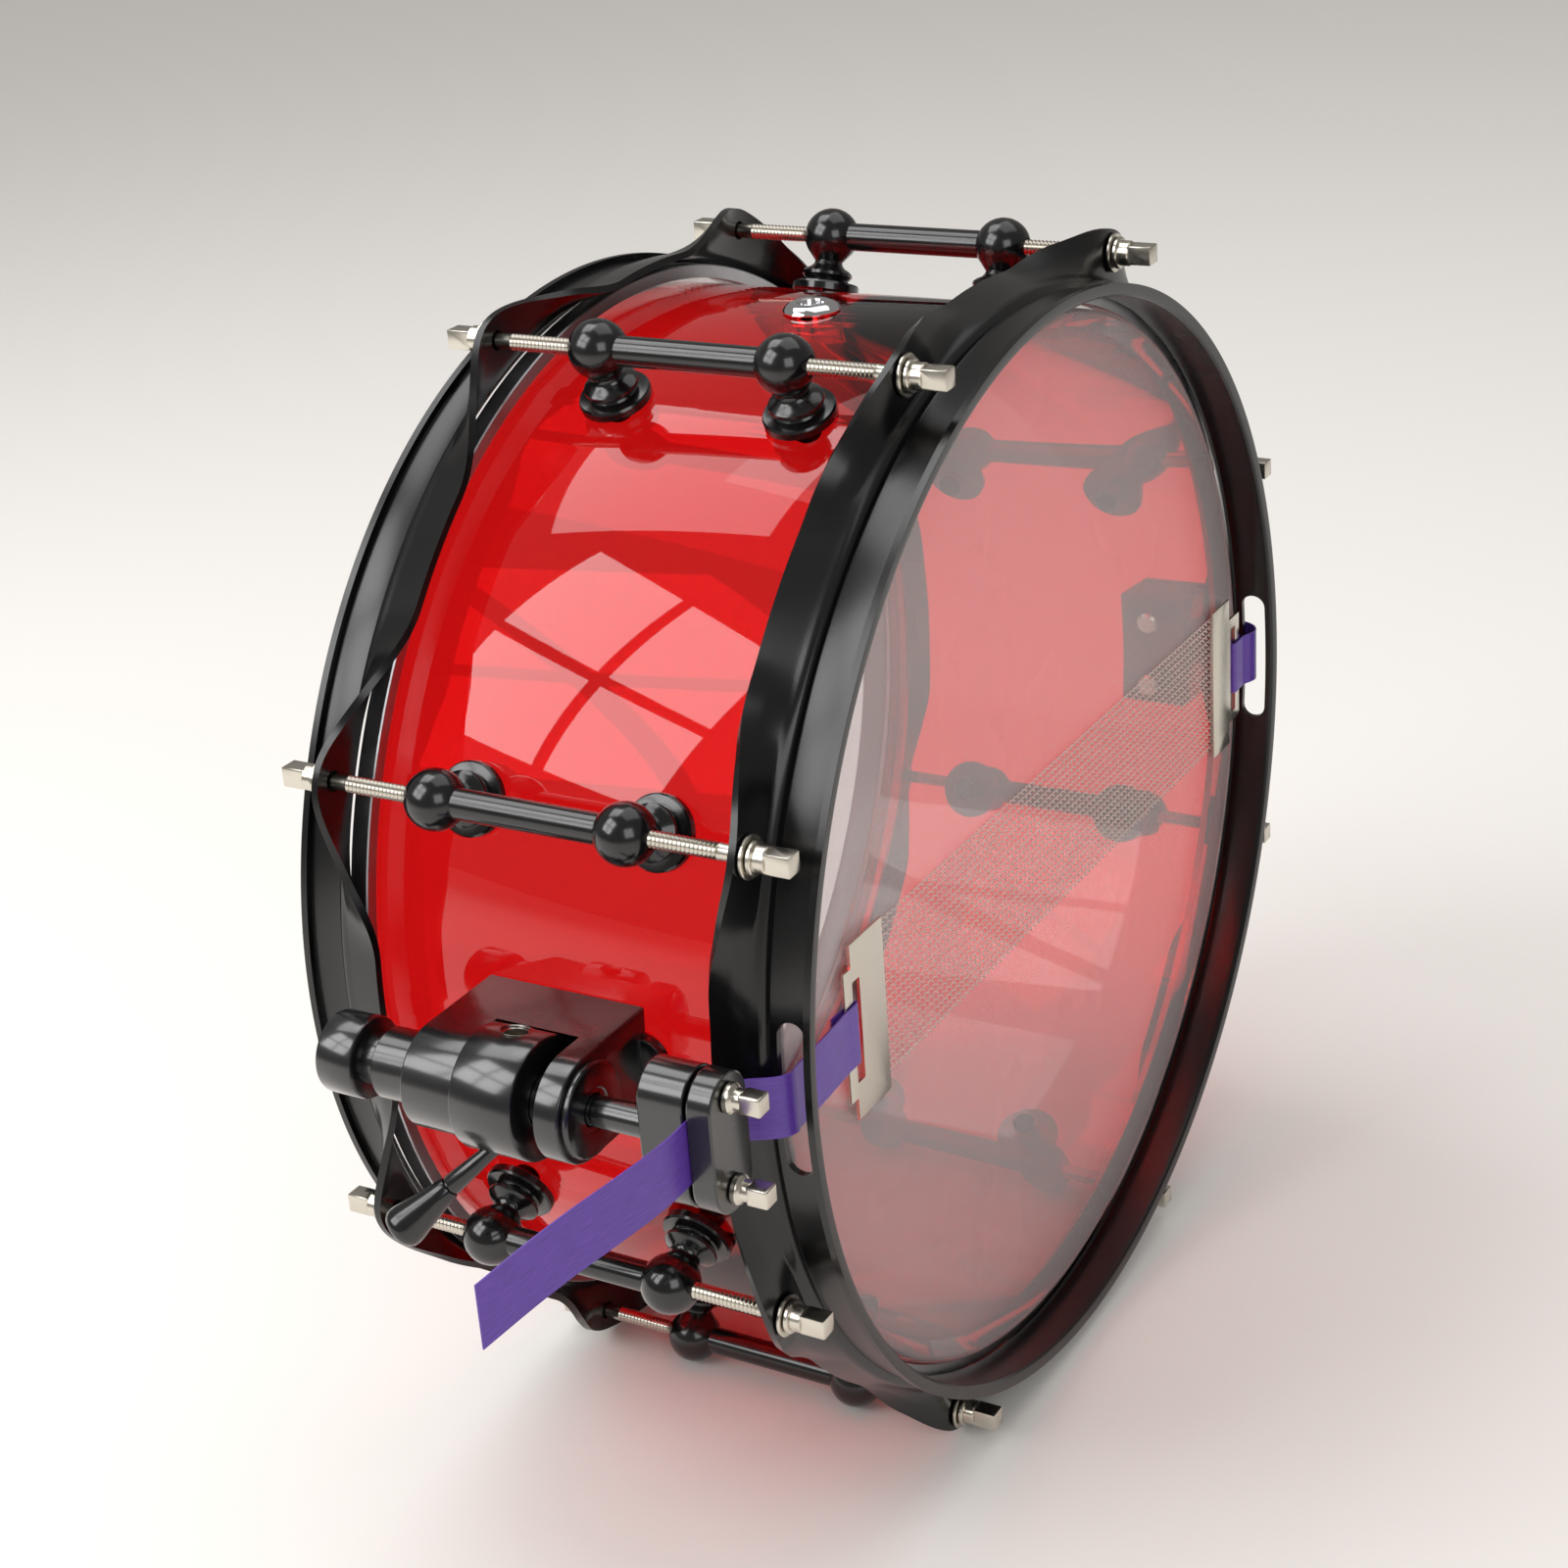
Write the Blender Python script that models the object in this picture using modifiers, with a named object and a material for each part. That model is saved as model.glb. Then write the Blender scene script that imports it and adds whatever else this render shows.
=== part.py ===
"""Acrylic snare drum, 14 inches across and 6 inches deep, built as separate pieces.

The drum axis is Y. The origin is the centre of the batter head's playing face and +Y points
out of it. +Z is up: the drum stands on two hoop ears, as it does in the photo. Lengths in the
constants are in millimetres and "height" means the distance from the drum's middle plane.
"""
import math

import bmesh
import bpy
from mathutils import Matrix, Vector

for old in list(bpy.data.objects):
    bpy.data.objects.remove(old, do_unlink=True)

MM = 0.001
GAP = 0.3

# Shell and heads
SHELL_OUTER = 176.8
SHELL_WALL = 6.0
SHELL_INNER = SHELL_OUTER - SHELL_WALL
SHELL_HALF = 75.9
EDGE_PEAK = SHELL_OUTER - 1.5
SNARE_BED_DEPTH = 1.2
SNARE_BED_WIDTH = 70.0
FILM = 0.35
HEAD_INSIDE = SHELL_HALF + GAP
HEAD_OUTSIDE = HEAD_INSIDE + FILM
MIDDLE = -HEAD_OUTSIDE
RING_INNER = SHELL_OUTER + 1.7
RING_OUTER = RING_INNER + 4.5
RING_BOTTOM = SHELL_HALF - 9.4
RING_TOP = SHELL_HALF - 2.9
ROUND_STEPS = 48

# Hoops
HOOP_METAL = 2.3
RIM_RADIUS = RING_OUTER - 0.6
RIM_TOP = HEAD_OUTSIDE + 13.4
LIP_REACH = 3.4
SHOULDER = RING_TOP + GAP + HOOP_METAL / 2
SKIRT_RADIUS = RING_OUTER + 1.0 + HOOP_METAL / 2
SKIRT_LENGTH = 12.0
EAR_REACH = 17.4
EAR_FLAT = 2.0
EAR_FLARE = 11.0
GATE_WIDTH = 50.0
GATE_HEIGHT = 9.0
GATE_LEVEL = HEAD_OUTSIDE + 5.9

# Lugs and tension rods
LUGS = 8
FIRST_LUG = -22.5
ROD_CIRCLE = SHELL_OUTER + 20.2
BALL = 9.5
BALL_HEIGHT = SHELL_HALF - 42.9
TUBE = 4.75
ROD = 2.7
EAR_TOP = RING_TOP
WASHER = 6.6
WASHER_THICK = 1.2
KEY_SIDE = 6.4
ROD_TIP = BALL_HEIGHT - 13.0
ROD_HEAD = EAR_TOP + 14.8

# Strainer
BARREL_OUT = SHELL_OUTER + 32.2
BARREL_X = -BARREL_OUT
NOSE = 16.4
BLOCK_BACK_Y = 25.5
BLOCK_FRONT_Y = -29.5
SPINDLE = 4.7
BORE_CLEAR = 0.4
JOURNAL = 9.0
COLLAR = 18.8
COLLAR_BACK = 6.7
COLLAR_FRONT = -15.0
POCKET_FRONT = -21.5
JAW_WIDTH = 20.0
JAW_HEIGHT = 44.0
CLAMP_SCREW_HALF = 14.7
STRAP = 0.5
STRAP_WIDTH = 20.0
STRAP_LEVEL = SHELL_HALF - 7.4
JAW_BACK = -(STRAP_LEVEL - 15.5)
JAW_FRONT = -(STRAP_LEVEL + 8.5)

# Snare wires
STRANDS = 20
STRAND = 0.8
STRAND_PITCH = 2.7
STRAND_HEIGHT = HEAD_OUTSIDE + GAP + STRAND
PLATE_LOW = STRAND_HEIGHT + STRAND + GAP
PLATE_THICK = 1.0
PLATE_HALF = 29.5
GATE_SLOT_X = -(SHELL_OUTER - 37.8)
BUTT_SLOT_X = SHELL_OUTER - 11.3
SLOT_SIDE = 2.3
SLOT_HALF = 17.0
BAR = 4.4
WIRE_START = -(SHELL_OUTER - 50.8)
WIRE_END = SHELL_OUTER - 24.8

# Butt plate
BUTT_FACE = SHELL_OUTER + 13.45
BUTT_LOW = SHELL_HALF - 45.4
BUTT_HIGH = SHELL_HALF - 19.4

parts = bpy.data.collections.new("acrylic snare drum")
cutters = bpy.data.collections.new("cutters")
bpy.context.scene.collection.children.link(parts)
bpy.context.scene.collection.children.link(cutters)


def material(name, colour, rough, metal):
    made = bpy.data.materials.new(name)
    made.use_nodes = True
    shader = made.node_tree.nodes["Principled BSDF"]
    shader.inputs["Base Color"].default_value = (*colour, 1.0)
    shader.inputs["Roughness"].default_value = rough
    shader.inputs["Metallic"].default_value = metal
    return made


LOOKS = {
    "red_acrylic": ((0.72, 0.004, 0.006), 0.08, 0.0),
    "clear_film": ((0.75, 0.68, 0.68), 0.35, 0.0),
    "grey_ring": ((0.48, 0.48, 0.48), 0.35, 0.6),
    "black_hoop": ((0.012, 0.012, 0.013), 0.32, 0.4),
    "black_lug": ((0.012, 0.012, 0.013), 0.25, 0.4),
    "black_anodised": ((0.016, 0.016, 0.018), 0.35, 0.5),
    "nickel": ((0.62, 0.58, 0.52), 0.25, 1.0),
    "chrome": ((0.75, 0.75, 0.75), 0.12, 1.0),
    "steel_wire": ((0.55, 0.53, 0.50), 0.3, 1.0),
    "purple_ribbon": ((0.075, 0.03, 0.23), 0.5, 0.0),
}


def finish(obj, look, collection=parts):
    """Puts the object in its collection with a material of its own."""
    collection.objects.link(obj)
    if collection is parts:
        obj.data.shade_smooth()
        obj.data.set_sharp_from_angle(angle=math.radians(35))
        obj.data.materials.clear()
        obj.data.materials.append(material(obj.name, *LOOKS[look]))
    else:
        obj.hide_render = True
        obj.display_type = "WIRE"
    return obj


def mesh_object(name, work):
    """Turns a bmesh in millimetres into an object in metres, with its faces pointing out."""
    bmesh.ops.remove_doubles(work, verts=work.verts, dist=0.001)
    bmesh.ops.scale(work, vec=(MM, MM, MM), verts=work.verts)
    bmesh.ops.recalc_face_normals(work, faces=work.faces)
    mesh = bpy.data.meshes.new(name)
    work.to_mesh(mesh)
    work.free()
    return bpy.data.objects.new(name, mesh)


def settle(obj):
    """Replaces an object's mesh by the one its modifiers make."""
    bpy.context.scene.collection.objects.link(obj)
    bpy.context.view_layer.update()
    made = bpy.data.meshes.new_from_object(obj.evaluated_get(bpy.context.evaluated_depsgraph_get()))
    bpy.context.scene.collection.objects.unlink(obj)
    obj.modifiers.clear()
    obj.data = made
    return obj


def face_out(mesh):
    """Points the faces of a closed mesh outwards."""
    work = bmesh.new()
    work.from_mesh(mesh)
    bmesh.ops.recalc_face_normals(work, faces=work.faces)
    work.to_mesh(mesh)
    work.free()


def turned(name, profile, steps):
    """Turns a profile of (radius, height) round local Z. A profile off the axis is a closed ring.

    The half step of turn puts the middle of a flat, and not a corner, where a hole is drilled.
    """
    closed = profile[0][0] > 0 and profile[-1][0] > 0
    work = bmesh.new()
    dots = [work.verts.new((radius * MM, 0, height * MM)) for radius, height in profile]
    for one, two in zip(dots, dots[1:]):
        work.edges.new((one, two))
    if closed:
        work.edges.new((dots[-1], dots[0]))
    mesh = bpy.data.meshes.new(name)
    work.to_mesh(mesh)
    work.free()
    obj = bpy.data.objects.new(name, mesh)
    screw = obj.modifiers.new("turn", "SCREW")
    screw.steps = steps
    screw.render_steps = steps
    screw.use_merge_vertices = True
    screw.merge_threshold = 0.00001
    obj = settle(obj)
    obj.data.transform(Matrix.Rotation(math.pi / steps, 4, "Z"))
    face_out(obj.data)
    return obj


def box(name, low, high, bevel=0.0, segments=2):
    """A box between two corners, its edges rounded by bevel."""
    work = bmesh.new()
    bmesh.ops.create_cube(work, size=1.0)
    size = [b - a for a, b in zip(low, high)]
    middle = [(a + b) / 2 for a, b in zip(low, high)]
    bmesh.ops.scale(work, vec=size, verts=work.verts)
    bmesh.ops.translate(work, vec=middle, verts=work.verts)
    if bevel:
        bmesh.ops.bevel(work, geom=work.edges[:], offset=bevel, segments=segments, profile=0.5,
                        affect="EDGES")
    return mesh_object(name, work)


def round_ended(name, low, high, axis, segments):
    """A box whose edges along one axis are rounded until its ends are half round."""
    made = box(name, low, high)
    sides = [b - a for a, b in zip(low, high)]
    del sides[axis]
    work = bmesh.new()
    work.from_mesh(made.data)
    along = [line for line in work.edges
             if abs((line.verts[0].co - line.verts[1].co)[axis]) > 0.5 * (high[axis] - low[axis]) * MM]
    bmesh.ops.bevel(work, geom=along, offset=min(sides) * 0.49 * MM, segments=segments, profile=0.5,
                    affect="EDGES")
    work.to_mesh(made.data)
    work.free()
    return made


def rod_cutter(name, radius, start, end, steps=16):
    """A plain cylinder between two points, for a cutter."""
    way = Vector(end) - Vector(start)
    work = bmesh.new()
    turn = way.to_track_quat("Z", "Y").to_matrix().to_4x4()
    half_step = Matrix.Rotation(math.pi / steps, 4, "Z")
    place = Matrix.Translation((Vector(start) + Vector(end)) / 2) @ turn @ half_step
    bmesh.ops.create_cone(work, cap_ends=True, segments=steps, radius1=radius, radius2=radius,
                          depth=way.length, matrix=place)
    return finish(mesh_object(name, work), None, cutters)


def combine(obj, others, operation):
    """Cuts the others out of the object, or joins them to it."""
    for other in others:
        step = obj.modifiers.new("combine", "BOOLEAN")
        step.operation = operation
        step.solver = "EXACT"
        step.object = other
    return settle(obj)


def copy_of(name, obj):
    return bpy.data.objects.new(name, obj.data.copy())


def on_axis(obj, side=1, x=0.0, z=0.0):
    """Stands a turned piece on an axis along Y: its local Z is the height on that side."""
    obj.location = (x * MM, MIDDLE * MM, z * MM)
    obj.rotation_euler = (-side * math.pi / 2, 0, 0)
    return obj


def outward(angle):
    """The direction out of the shell at an angle from the top, towards -X."""
    return Vector((-math.sin(math.radians(angle)), 0, math.cos(math.radians(angle))))


def at_shell(obj, angle, height=0.0):
    """Points local Z out of the shell at an angle."""
    obj.location = (0, (MIDDLE + height) * MM, 0)
    obj.rotation_euler = (0, -math.radians(angle), 0)
    return obj


lug_angles = [FIRST_LUG + 360.0 / LUGS * count for count in range(LUGS)]

# The shell: a tube with a sloped bearing edge at each end
edge = [
    (SHELL_INNER, SHELL_HALF - (EDGE_PEAK - SHELL_INNER)),
    (EDGE_PEAK, SHELL_HALF),
    (SHELL_OUTER, SHELL_HALF - 1.5),
]
shell = turned("shell", edge + [(radius, -height) for radius, height in reversed(edge)], ROUND_STEPS)
SCREW_HOLE = 2.4
holes = []
for angle in lug_angles:
    way = outward(angle)
    for height in (BALL_HEIGHT, -BALL_HEIGHT):
        start = way * (SHELL_INNER - 4)
        end = way * (SHELL_OUTER + 4)
        holes.append(rod_cutter("shell hole", SCREW_HOLE, (start.x, -height, start.z),
                                (end.x, -height, end.z), 8))
STRAINER_SCREWS = (BLOCK_BACK_Y - 8.5, BLOCK_FRONT_Y + 4.5)
BUTT_SCREW_ANGLES = (265.6, 274.4)
BUTT_MIDDLE = -(BUTT_LOW + BUTT_HIGH) / 2
for height in STRAINER_SCREWS:
    holes.append(rod_cutter("shell hole", SCREW_HOLE, (-SHELL_OUTER - 4, height, 0),
                            (-SHELL_INNER + 6, height, 0), 8))
for angle in BUTT_SCREW_ANGLES:
    start = outward(angle) * (SHELL_INNER - 4)
    end = outward(angle) * (SHELL_OUTER + 4)
    holes.append(rod_cutter("shell hole", SCREW_HOLE, (start.x, BUTT_MIDDLE, start.z),
                            (end.x, BUTT_MIDDLE, end.z), 8))
VENT = 6.0
holes.append(rod_cutter("shell hole", VENT + GAP, (0, 0, SHELL_INNER - 4), (0, 0, SHELL_OUTER + 4), 16))
for side in (-1, 1):
    bed = box("snare bed", (side * SHELL_OUTER - 12, -SHELL_HALF - 4, -SNARE_BED_WIDTH / 2),
              (side * SHELL_OUTER + 12, -SHELL_HALF + SNARE_BED_DEPTH, SNARE_BED_WIDTH / 2))
    holes.append(finish(bed, None, cutters))
for hole in holes:
    hole.location = (0, MIDDLE * MM, 0)
on_axis(shell)
finish(combine(shell, holes, "DIFFERENCE"), "red_acrylic")

# The vent grommet and the nut that holds it inside the shell
grommet = turned("vent_grommet", [
    (4.1, SHELL_INNER - 4.5), (4.1, SHELL_OUTER + 2.6), (5.2, SHELL_OUTER + 3.2),
    (8.2, SHELL_OUTER + 2.4), (9.5, SHELL_OUTER + GAP + 0.3), (9.5, SHELL_OUTER + GAP),
    (VENT, SHELL_OUTER + GAP), (VENT, SHELL_INNER - 4.5)], 20)
finish(at_shell(grommet, 0), "chrome")
vent_nut = turned("vent_nut", [
    (VENT + GAP, SHELL_INNER - 3.6), (VENT + GAP, SHELL_INNER - 0.6), (9.0, SHELL_INNER - 0.6),
    (9.0, SHELL_INNER - 3.6)], 12)
finish(at_shell(vent_nut, 0), "chrome")

# Each head: a film with a collar, held in a groove of its ring
GROOVE_LEVEL = (RING_BOTTOM + RING_TOP) / 2
GROOVE_DEEP = RING_INNER + 3.0
film_profile = [
    (0, HEAD_OUTSIDE),
    (EDGE_PEAK + 0.3, HEAD_OUTSIDE),
    (SHELL_OUTER + 1.1, HEAD_OUTSIDE - 1.9),
    (SHELL_OUTER + 1.3, GROOVE_LEVEL + FILM / 2),
    (GROOVE_DEEP - GAP, GROOVE_LEVEL + FILM / 2),
    (GROOVE_DEEP - GAP, GROOVE_LEVEL - FILM / 2),
    (SHELL_OUTER + 0.95, GROOVE_LEVEL - FILM / 2),
    (SHELL_OUTER + 0.8, HEAD_OUTSIDE - 2.1),
    (EDGE_PEAK + 0.2, HEAD_INSIDE),
    (0, HEAD_INSIDE),
]
ring_profile = [
    (RING_INNER, RING_BOTTOM), (RING_OUTER, RING_BOTTOM), (RING_OUTER, RING_TOP), (RING_INNER, RING_TOP),
    (RING_INNER, GROOVE_LEVEL + FILM / 2 + GAP), (GROOVE_DEEP, GROOVE_LEVEL + FILM / 2 + GAP),
    (GROOVE_DEEP, GROOVE_LEVEL - FILM / 2 - GAP), (RING_INNER, GROOVE_LEVEL - FILM / 2 - GAP),
]
for which, side in (("batter", 1), ("snare", -1)):
    film = turned(which + "_head", film_profile, ROUND_STEPS)
    finish(on_axis(film, side), "clear_film")
    ring = turned(which + "_head_ring", ring_profile, ROUND_STEPS)
    finish(on_axis(ring, side), "grey_ring")


def hoop_section(offset):
    """The hoop's middle line, from lip to skirt edge, at an angle away from the nearest ear."""
    share = min(max((offset - EAR_FLAT) / EAR_FLARE, 0.0), 1.0)
    swing = 1.0 - share * share * (3.0 - 2.0 * share)
    length = SKIRT_LENGTH + (EAR_REACH - SKIRT_LENGTH) * swing
    tilt = math.radians(12 + (90 - 12) * swing)
    corner = (SKIRT_RADIUS, SHOULDER - 0.3)
    ear_level = EAR_TOP - HOOP_METAL / 2
    knee = (corner[0] + 2.0 * math.sin(tilt), corner[1] - 3.2 + (ear_level - corner[1] + 3.2) * swing)
    tip = (knee[0] + length * math.sin(tilt), knee[1] - length * math.cos(tilt))
    return [
        (RIM_RADIUS + LIP_REACH, RIM_TOP - HOOP_METAL / 2),
        (RIM_RADIUS, RIM_TOP - HOOP_METAL / 2),
        (RIM_RADIUS, SHOULDER + 0.6),
        corner,
        knee,
        tip,
    ]


def thick_outline(line, width):
    """Both sides of a line in one closed outline, each point moved out along its mitre."""
    sides = ([], [])
    for index, point in enumerate(line):
        before = Vector(line[max(index - 1, 0)])
        after = Vector(line[min(index + 1, len(line) - 1)])
        here = Vector(point)
        first = (here - before).normalized() if index else (after - here).normalized()
        second = (after - here).normalized() if index < len(line) - 1 else first
        mitre = (first + second).normalized()
        normal = Vector((-mitre.y, mitre.x))
        stretch = width / 2 / max(mitre.dot(first), 0.5)
        sides[0].append(here + normal * stretch)
        sides[1].append(here - normal * stretch)
    return sides[0] + sides[1][::-1]


def hoop(name, side, gates):
    """A flanged hoop with an ear at each rod: sections lofted round the drum."""
    offsets = (-22.5, -17.0, -13.0, -11.0, -9.0, -7.0, -5.0, -2.5, 2.5, 5.0, 7.0, 9.0, 11.0, 13.0, 17.0)
    work = bmesh.new()
    loops = []
    for ear in lug_angles:
        for offset in offsets:
            way = outward(ear + offset)
            outline = thick_outline(hoop_section(abs(offset)), HOOP_METAL)
            loops.append([work.verts.new((way.x * spot.x, side * spot.y, way.z * spot.x))
                          for spot in outline])
    for one, two in zip(loops, loops[1:] + loops[:1]):
        for index, corner in enumerate(one):
            after = (index + 1) % len(one)
            work.faces.new((corner, one[after], two[after], two[index]))
    made = mesh_object(name, work)
    cuts = []
    for angle in lug_angles:
        spot = outward(angle) * ROD_CIRCLE
        cuts.append(rod_cutter("ear hole", ROD + 0.6, (spot.x, side * (EAR_TOP - 8), spot.z),
                               (spot.x, side * (EAR_TOP + 5), spot.z), 12))
    for direction in gates:
        level = side * GATE_LEVEL
        cut = round_ended("gate", (direction * RIM_RADIUS - 8, level - GATE_HEIGHT / 2, -GATE_WIDTH / 2),
                          (direction * RIM_RADIUS + 8, level + GATE_HEIGHT / 2, GATE_WIDTH / 2), 0, 4)
        cuts.append(finish(cut, None, cutters))
    for cut in cuts:
        cut.location = (0, MIDDLE * MM, 0)
    made.location = (0, MIDDLE * MM, 0)
    return finish(combine(made, cuts, "DIFFERENCE"), "black_hoop")


hoop("batter_hoop", 1, ())
hoop("snare_hoop", -1, (-1, 1))

# Each lug: two posts that end in a ball, a tube between them, and the two screws that hold it
SCREW = 2.0
post_profile = [
    (0, SHELL_INNER - 3.2), (4.2, SHELL_INNER - 3.2), (4.2, SHELL_INNER - 0.6), (SCREW, SHELL_INNER - 0.6),
    (SCREW, SHELL_OUTER + GAP), (11.6, SHELL_OUTER + GAP), (11.6, SHELL_OUTER + 3.4),
    (7.4, SHELL_OUTER + 4.8), (8.7, SHELL_OUTER + 7.0), (5.0, SHELL_OUTER + 10.4),
    (8.3, ROD_CIRCLE - 4.6), (BALL, ROD_CIRCLE), (6.7, ROD_CIRCLE + 6.7), (0, ROD_CIRCLE + BALL),
]
lug_body = turned("lug body", post_profile, 10)
lug_body.location = (0, BALL_HEIGHT * MM, 0)
other_post = turned("other post", post_profile, 10)
other_post.location = (0, -BALL_HEIGHT * MM, 0)
finish(other_post, None, cutters)
tube = rod_cutter("tube", TUBE, (0, -BALL_HEIGHT, ROD_CIRCLE), (0, BALL_HEIGHT, ROD_CIRCLE), 10)
lug_body.data.transform(Matrix.Translation((0, BALL_HEIGHT * MM, 0)))
lug_body.location = (0, 0, 0)
combine(lug_body, [other_post, tube], "UNION")
bores = [rod_cutter("rod bore", ROD + GAP, (0, side * (BALL_HEIGHT + 14), ROD_CIRCLE),
                    (0, side * (ROD_TIP - 3), ROD_CIRCLE), 8) for side in (1, -1)]
combine(lug_body, bores, "DIFFERENCE")
for count, angle in enumerate(lug_angles):
    lug = copy_of("lug_%d" % (count + 1), lug_body)
    finish(at_shell(lug, angle), "black_lug")

# The tension rods, each with its washer, a flange and a square key head
SEAT = EAR_TOP + GAP
rod_profile = [
    (0, ROD_TIP), (ROD, ROD_TIP + 1.4), (ROD, SEAT), (WASHER, SEAT), (WASHER, SEAT + WASHER_THICK),
    (4.2, SEAT + WASHER_THICK + 0.6), (4.2, SEAT + 6.6), (0, SEAT + 6.6),
]
for side, which in ((1, "batter"), (-1, "snare")):
    for count, angle in enumerate(lug_angles):
        spot = outward(angle) * ROD_CIRCLE
        rod = turned("%s_tension_rod_%d" % (which, count + 1), rod_profile, 10)
        key = box("key head", (-KEY_SIDE / 2, -KEY_SIDE / 2, SEAT + 5.0),
                  (KEY_SIDE / 2, KEY_SIDE / 2, ROD_HEAD))
        finish(key, None, cutters)
        combine(rod, [key], "UNION")
        finish(on_axis(rod, side, spot.x, spot.z), "nickel")


def shell_screw(name, reach):
    """A screw driven from inside the shell, its head against the inner face."""
    return turned(name, [
        (0, SHELL_INNER - 3.2), (4.2, SHELL_INNER - 3.2), (4.2, SHELL_INNER - 0.6),
        (SCREW, SHELL_INNER - 0.6), (SCREW, reach), (0, reach)], 10)


def along_y(name, profile, look, steps=20):
    """A piece turned round the strainer's barrel axis; a height is a distance along +Y."""
    made = turned(name, profile, steps)
    return finish(on_axis(made, 1, BARREL_X, 0), look)


# The strainer: a block on the shell with a round nose. The lever's collar turns in its pocket
SHELL_FACE = SHELL_OUTER + 0.55
NECK = 10.9
CAP = 14.6


def shell_face_cutter(low, high):
    """A wide cylinder that shapes a block's back to the round shell."""
    return rod_cutter("shell face", SHELL_FACE, (0, low, 0), (0, high, 0), 128)


block = box("strainer_block", (BARREL_X, BLOCK_FRONT_Y, -NOSE), (-SHELL_OUTER + 6, BLOCK_BACK_Y, NOSE))
nose = rod_cutter("block nose", NOSE, (BARREL_X, BLOCK_FRONT_Y, 0), (BARREL_X, BLOCK_BACK_Y, 0), 48)
foot = rod_cutter("block foot", 8.0, (-SHELL_OUTER - 4.2, BLOCK_FRONT_Y, 0),
                  (-SHELL_OUTER + 6, BLOCK_FRONT_Y, 0), 20)
openings = [
    rod_cutter("barrel bore", JOURNAL + GAP, (BARREL_X, -50, 0), (BARREL_X, 50, 0), 32),
    rod_cutter("collar pocket", COLLAR + 0.5, (BARREL_X, POCKET_FRONT, 0),
               (BARREL_X, COLLAR_BACK + 0.7, 0), 32),
    shell_face_cutter(-60, 60),
]
for height in STRAINER_SCREWS:
    openings.append(rod_cutter("block screw hole", SCREW_HOLE, (-SHELL_OUTER + 4, height, 0),
                               (-SHELL_OUTER - 11, height, 0), 8))
for piece in [block, nose, foot] + openings:
    piece.location = (0, MIDDLE * MM, 0)
combine(block, [nose, foot], "UNION")
finish(combine(block, openings, "DIFFERENCE"), "black_anodised")

BORE = SPINDLE + BORE_CLEAR
along_y("strainer_barrel", [
    (BORE, 40.6), (10.3, 40.6), (NECK, 40.0), (NECK, BLOCK_BACK_Y + GAP), (JOURNAL, BLOCK_BACK_Y + GAP),
    (JOURNAL, COLLAR_FRONT), (BORE, COLLAR_FRONT)], "black_anodised")
along_y("strainer_end_cap", [
    (BORE, COLLAR_FRONT - GAP), (JOURNAL, COLLAR_FRONT - GAP), (JOURNAL, BLOCK_FRONT_Y - GAP),
    (CAP, BLOCK_FRONT_Y - GAP), (CAP, BLOCK_FRONT_Y - 1.5), (CAP - 0.7, BLOCK_FRONT_Y - 2.2),
    (BORE, BLOCK_FRONT_Y - 2.2)], "black_anodised")
collar = turned("lever_collar", [
    (JOURNAL + GAP, COLLAR_BACK), (COLLAR - 0.8, COLLAR_BACK), (COLLAR, COLLAR_BACK - 0.8),
    (COLLAR, COLLAR_FRONT + 0.8), (COLLAR - 0.8, COLLAR_FRONT), (JOURNAL + GAP, COLLAR_FRONT)], 48)

# The lever screws into the collar and leans towards the knob
LEVER_DOWN = 55.0
LEVER_LEAN = 40.0
LEVER_FOOT_Y = -16.0
LEVER_ROD = 2.4
SPARE_HOLE_TILT = 12.0
way_out = Vector((-math.cos(math.radians(LEVER_DOWN)), 0, -math.sin(math.radians(LEVER_DOWN))))
lever_way = (way_out * math.cos(math.radians(LEVER_LEAN))
             + Vector((0, math.sin(math.radians(LEVER_LEAN)), 0))).normalized()
lever_foot = Vector((0, LEVER_FOOT_Y, 0)) + lever_way * (COLLAR - 6.5) / math.cos(math.radians(LEVER_LEAN))
on_axis(collar, 1, BARREL_X, 0)
lever_hole_start = lever_foot - lever_way * 0.5 + Vector((BARREL_X, MIDDLE, 0))
lever_hole = rod_cutter("lever hole", LEVER_ROD + GAP, lever_hole_start,
                        lever_hole_start + lever_way * 22, 12)
spare_way = Vector((math.sin(math.radians(SPARE_HOLE_TILT)), 0, math.cos(math.radians(SPARE_HOLE_TILT))))
spare_middle = Vector((BARREL_X, MIDDLE + (COLLAR_BACK + COLLAR_FRONT) / 2, 0))
spare_hole = rod_cutter("spare lever hole", 3.9, spare_middle + spare_way * (COLLAR - 6.5),
                        spare_middle + spare_way * (COLLAR + 3), 16)
combine(collar, [lever_hole, spare_hole], "DIFFERENCE")
finish(collar, "black_anodised")
lever = turned("throw_off_lever", [
    (0, 0), (LEVER_ROD, 0), (LEVER_ROD, 10.5), (3.2, 23.8), (4.4, 31.0), (5.8, 38.0), (6.6, 42.0),
    (6.4, 44.4), (4.6, 46.1), (0, 46.6)], 16)
lever.data.transform(Matrix.Translation(lever_foot * MM)
                     @ lever_way.to_track_quat("Z", "Y").to_matrix().to_4x4())
lever.location = (BARREL_X * MM, MIDDLE * MM, 0)
finish(lever, "black_anodised")

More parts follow.
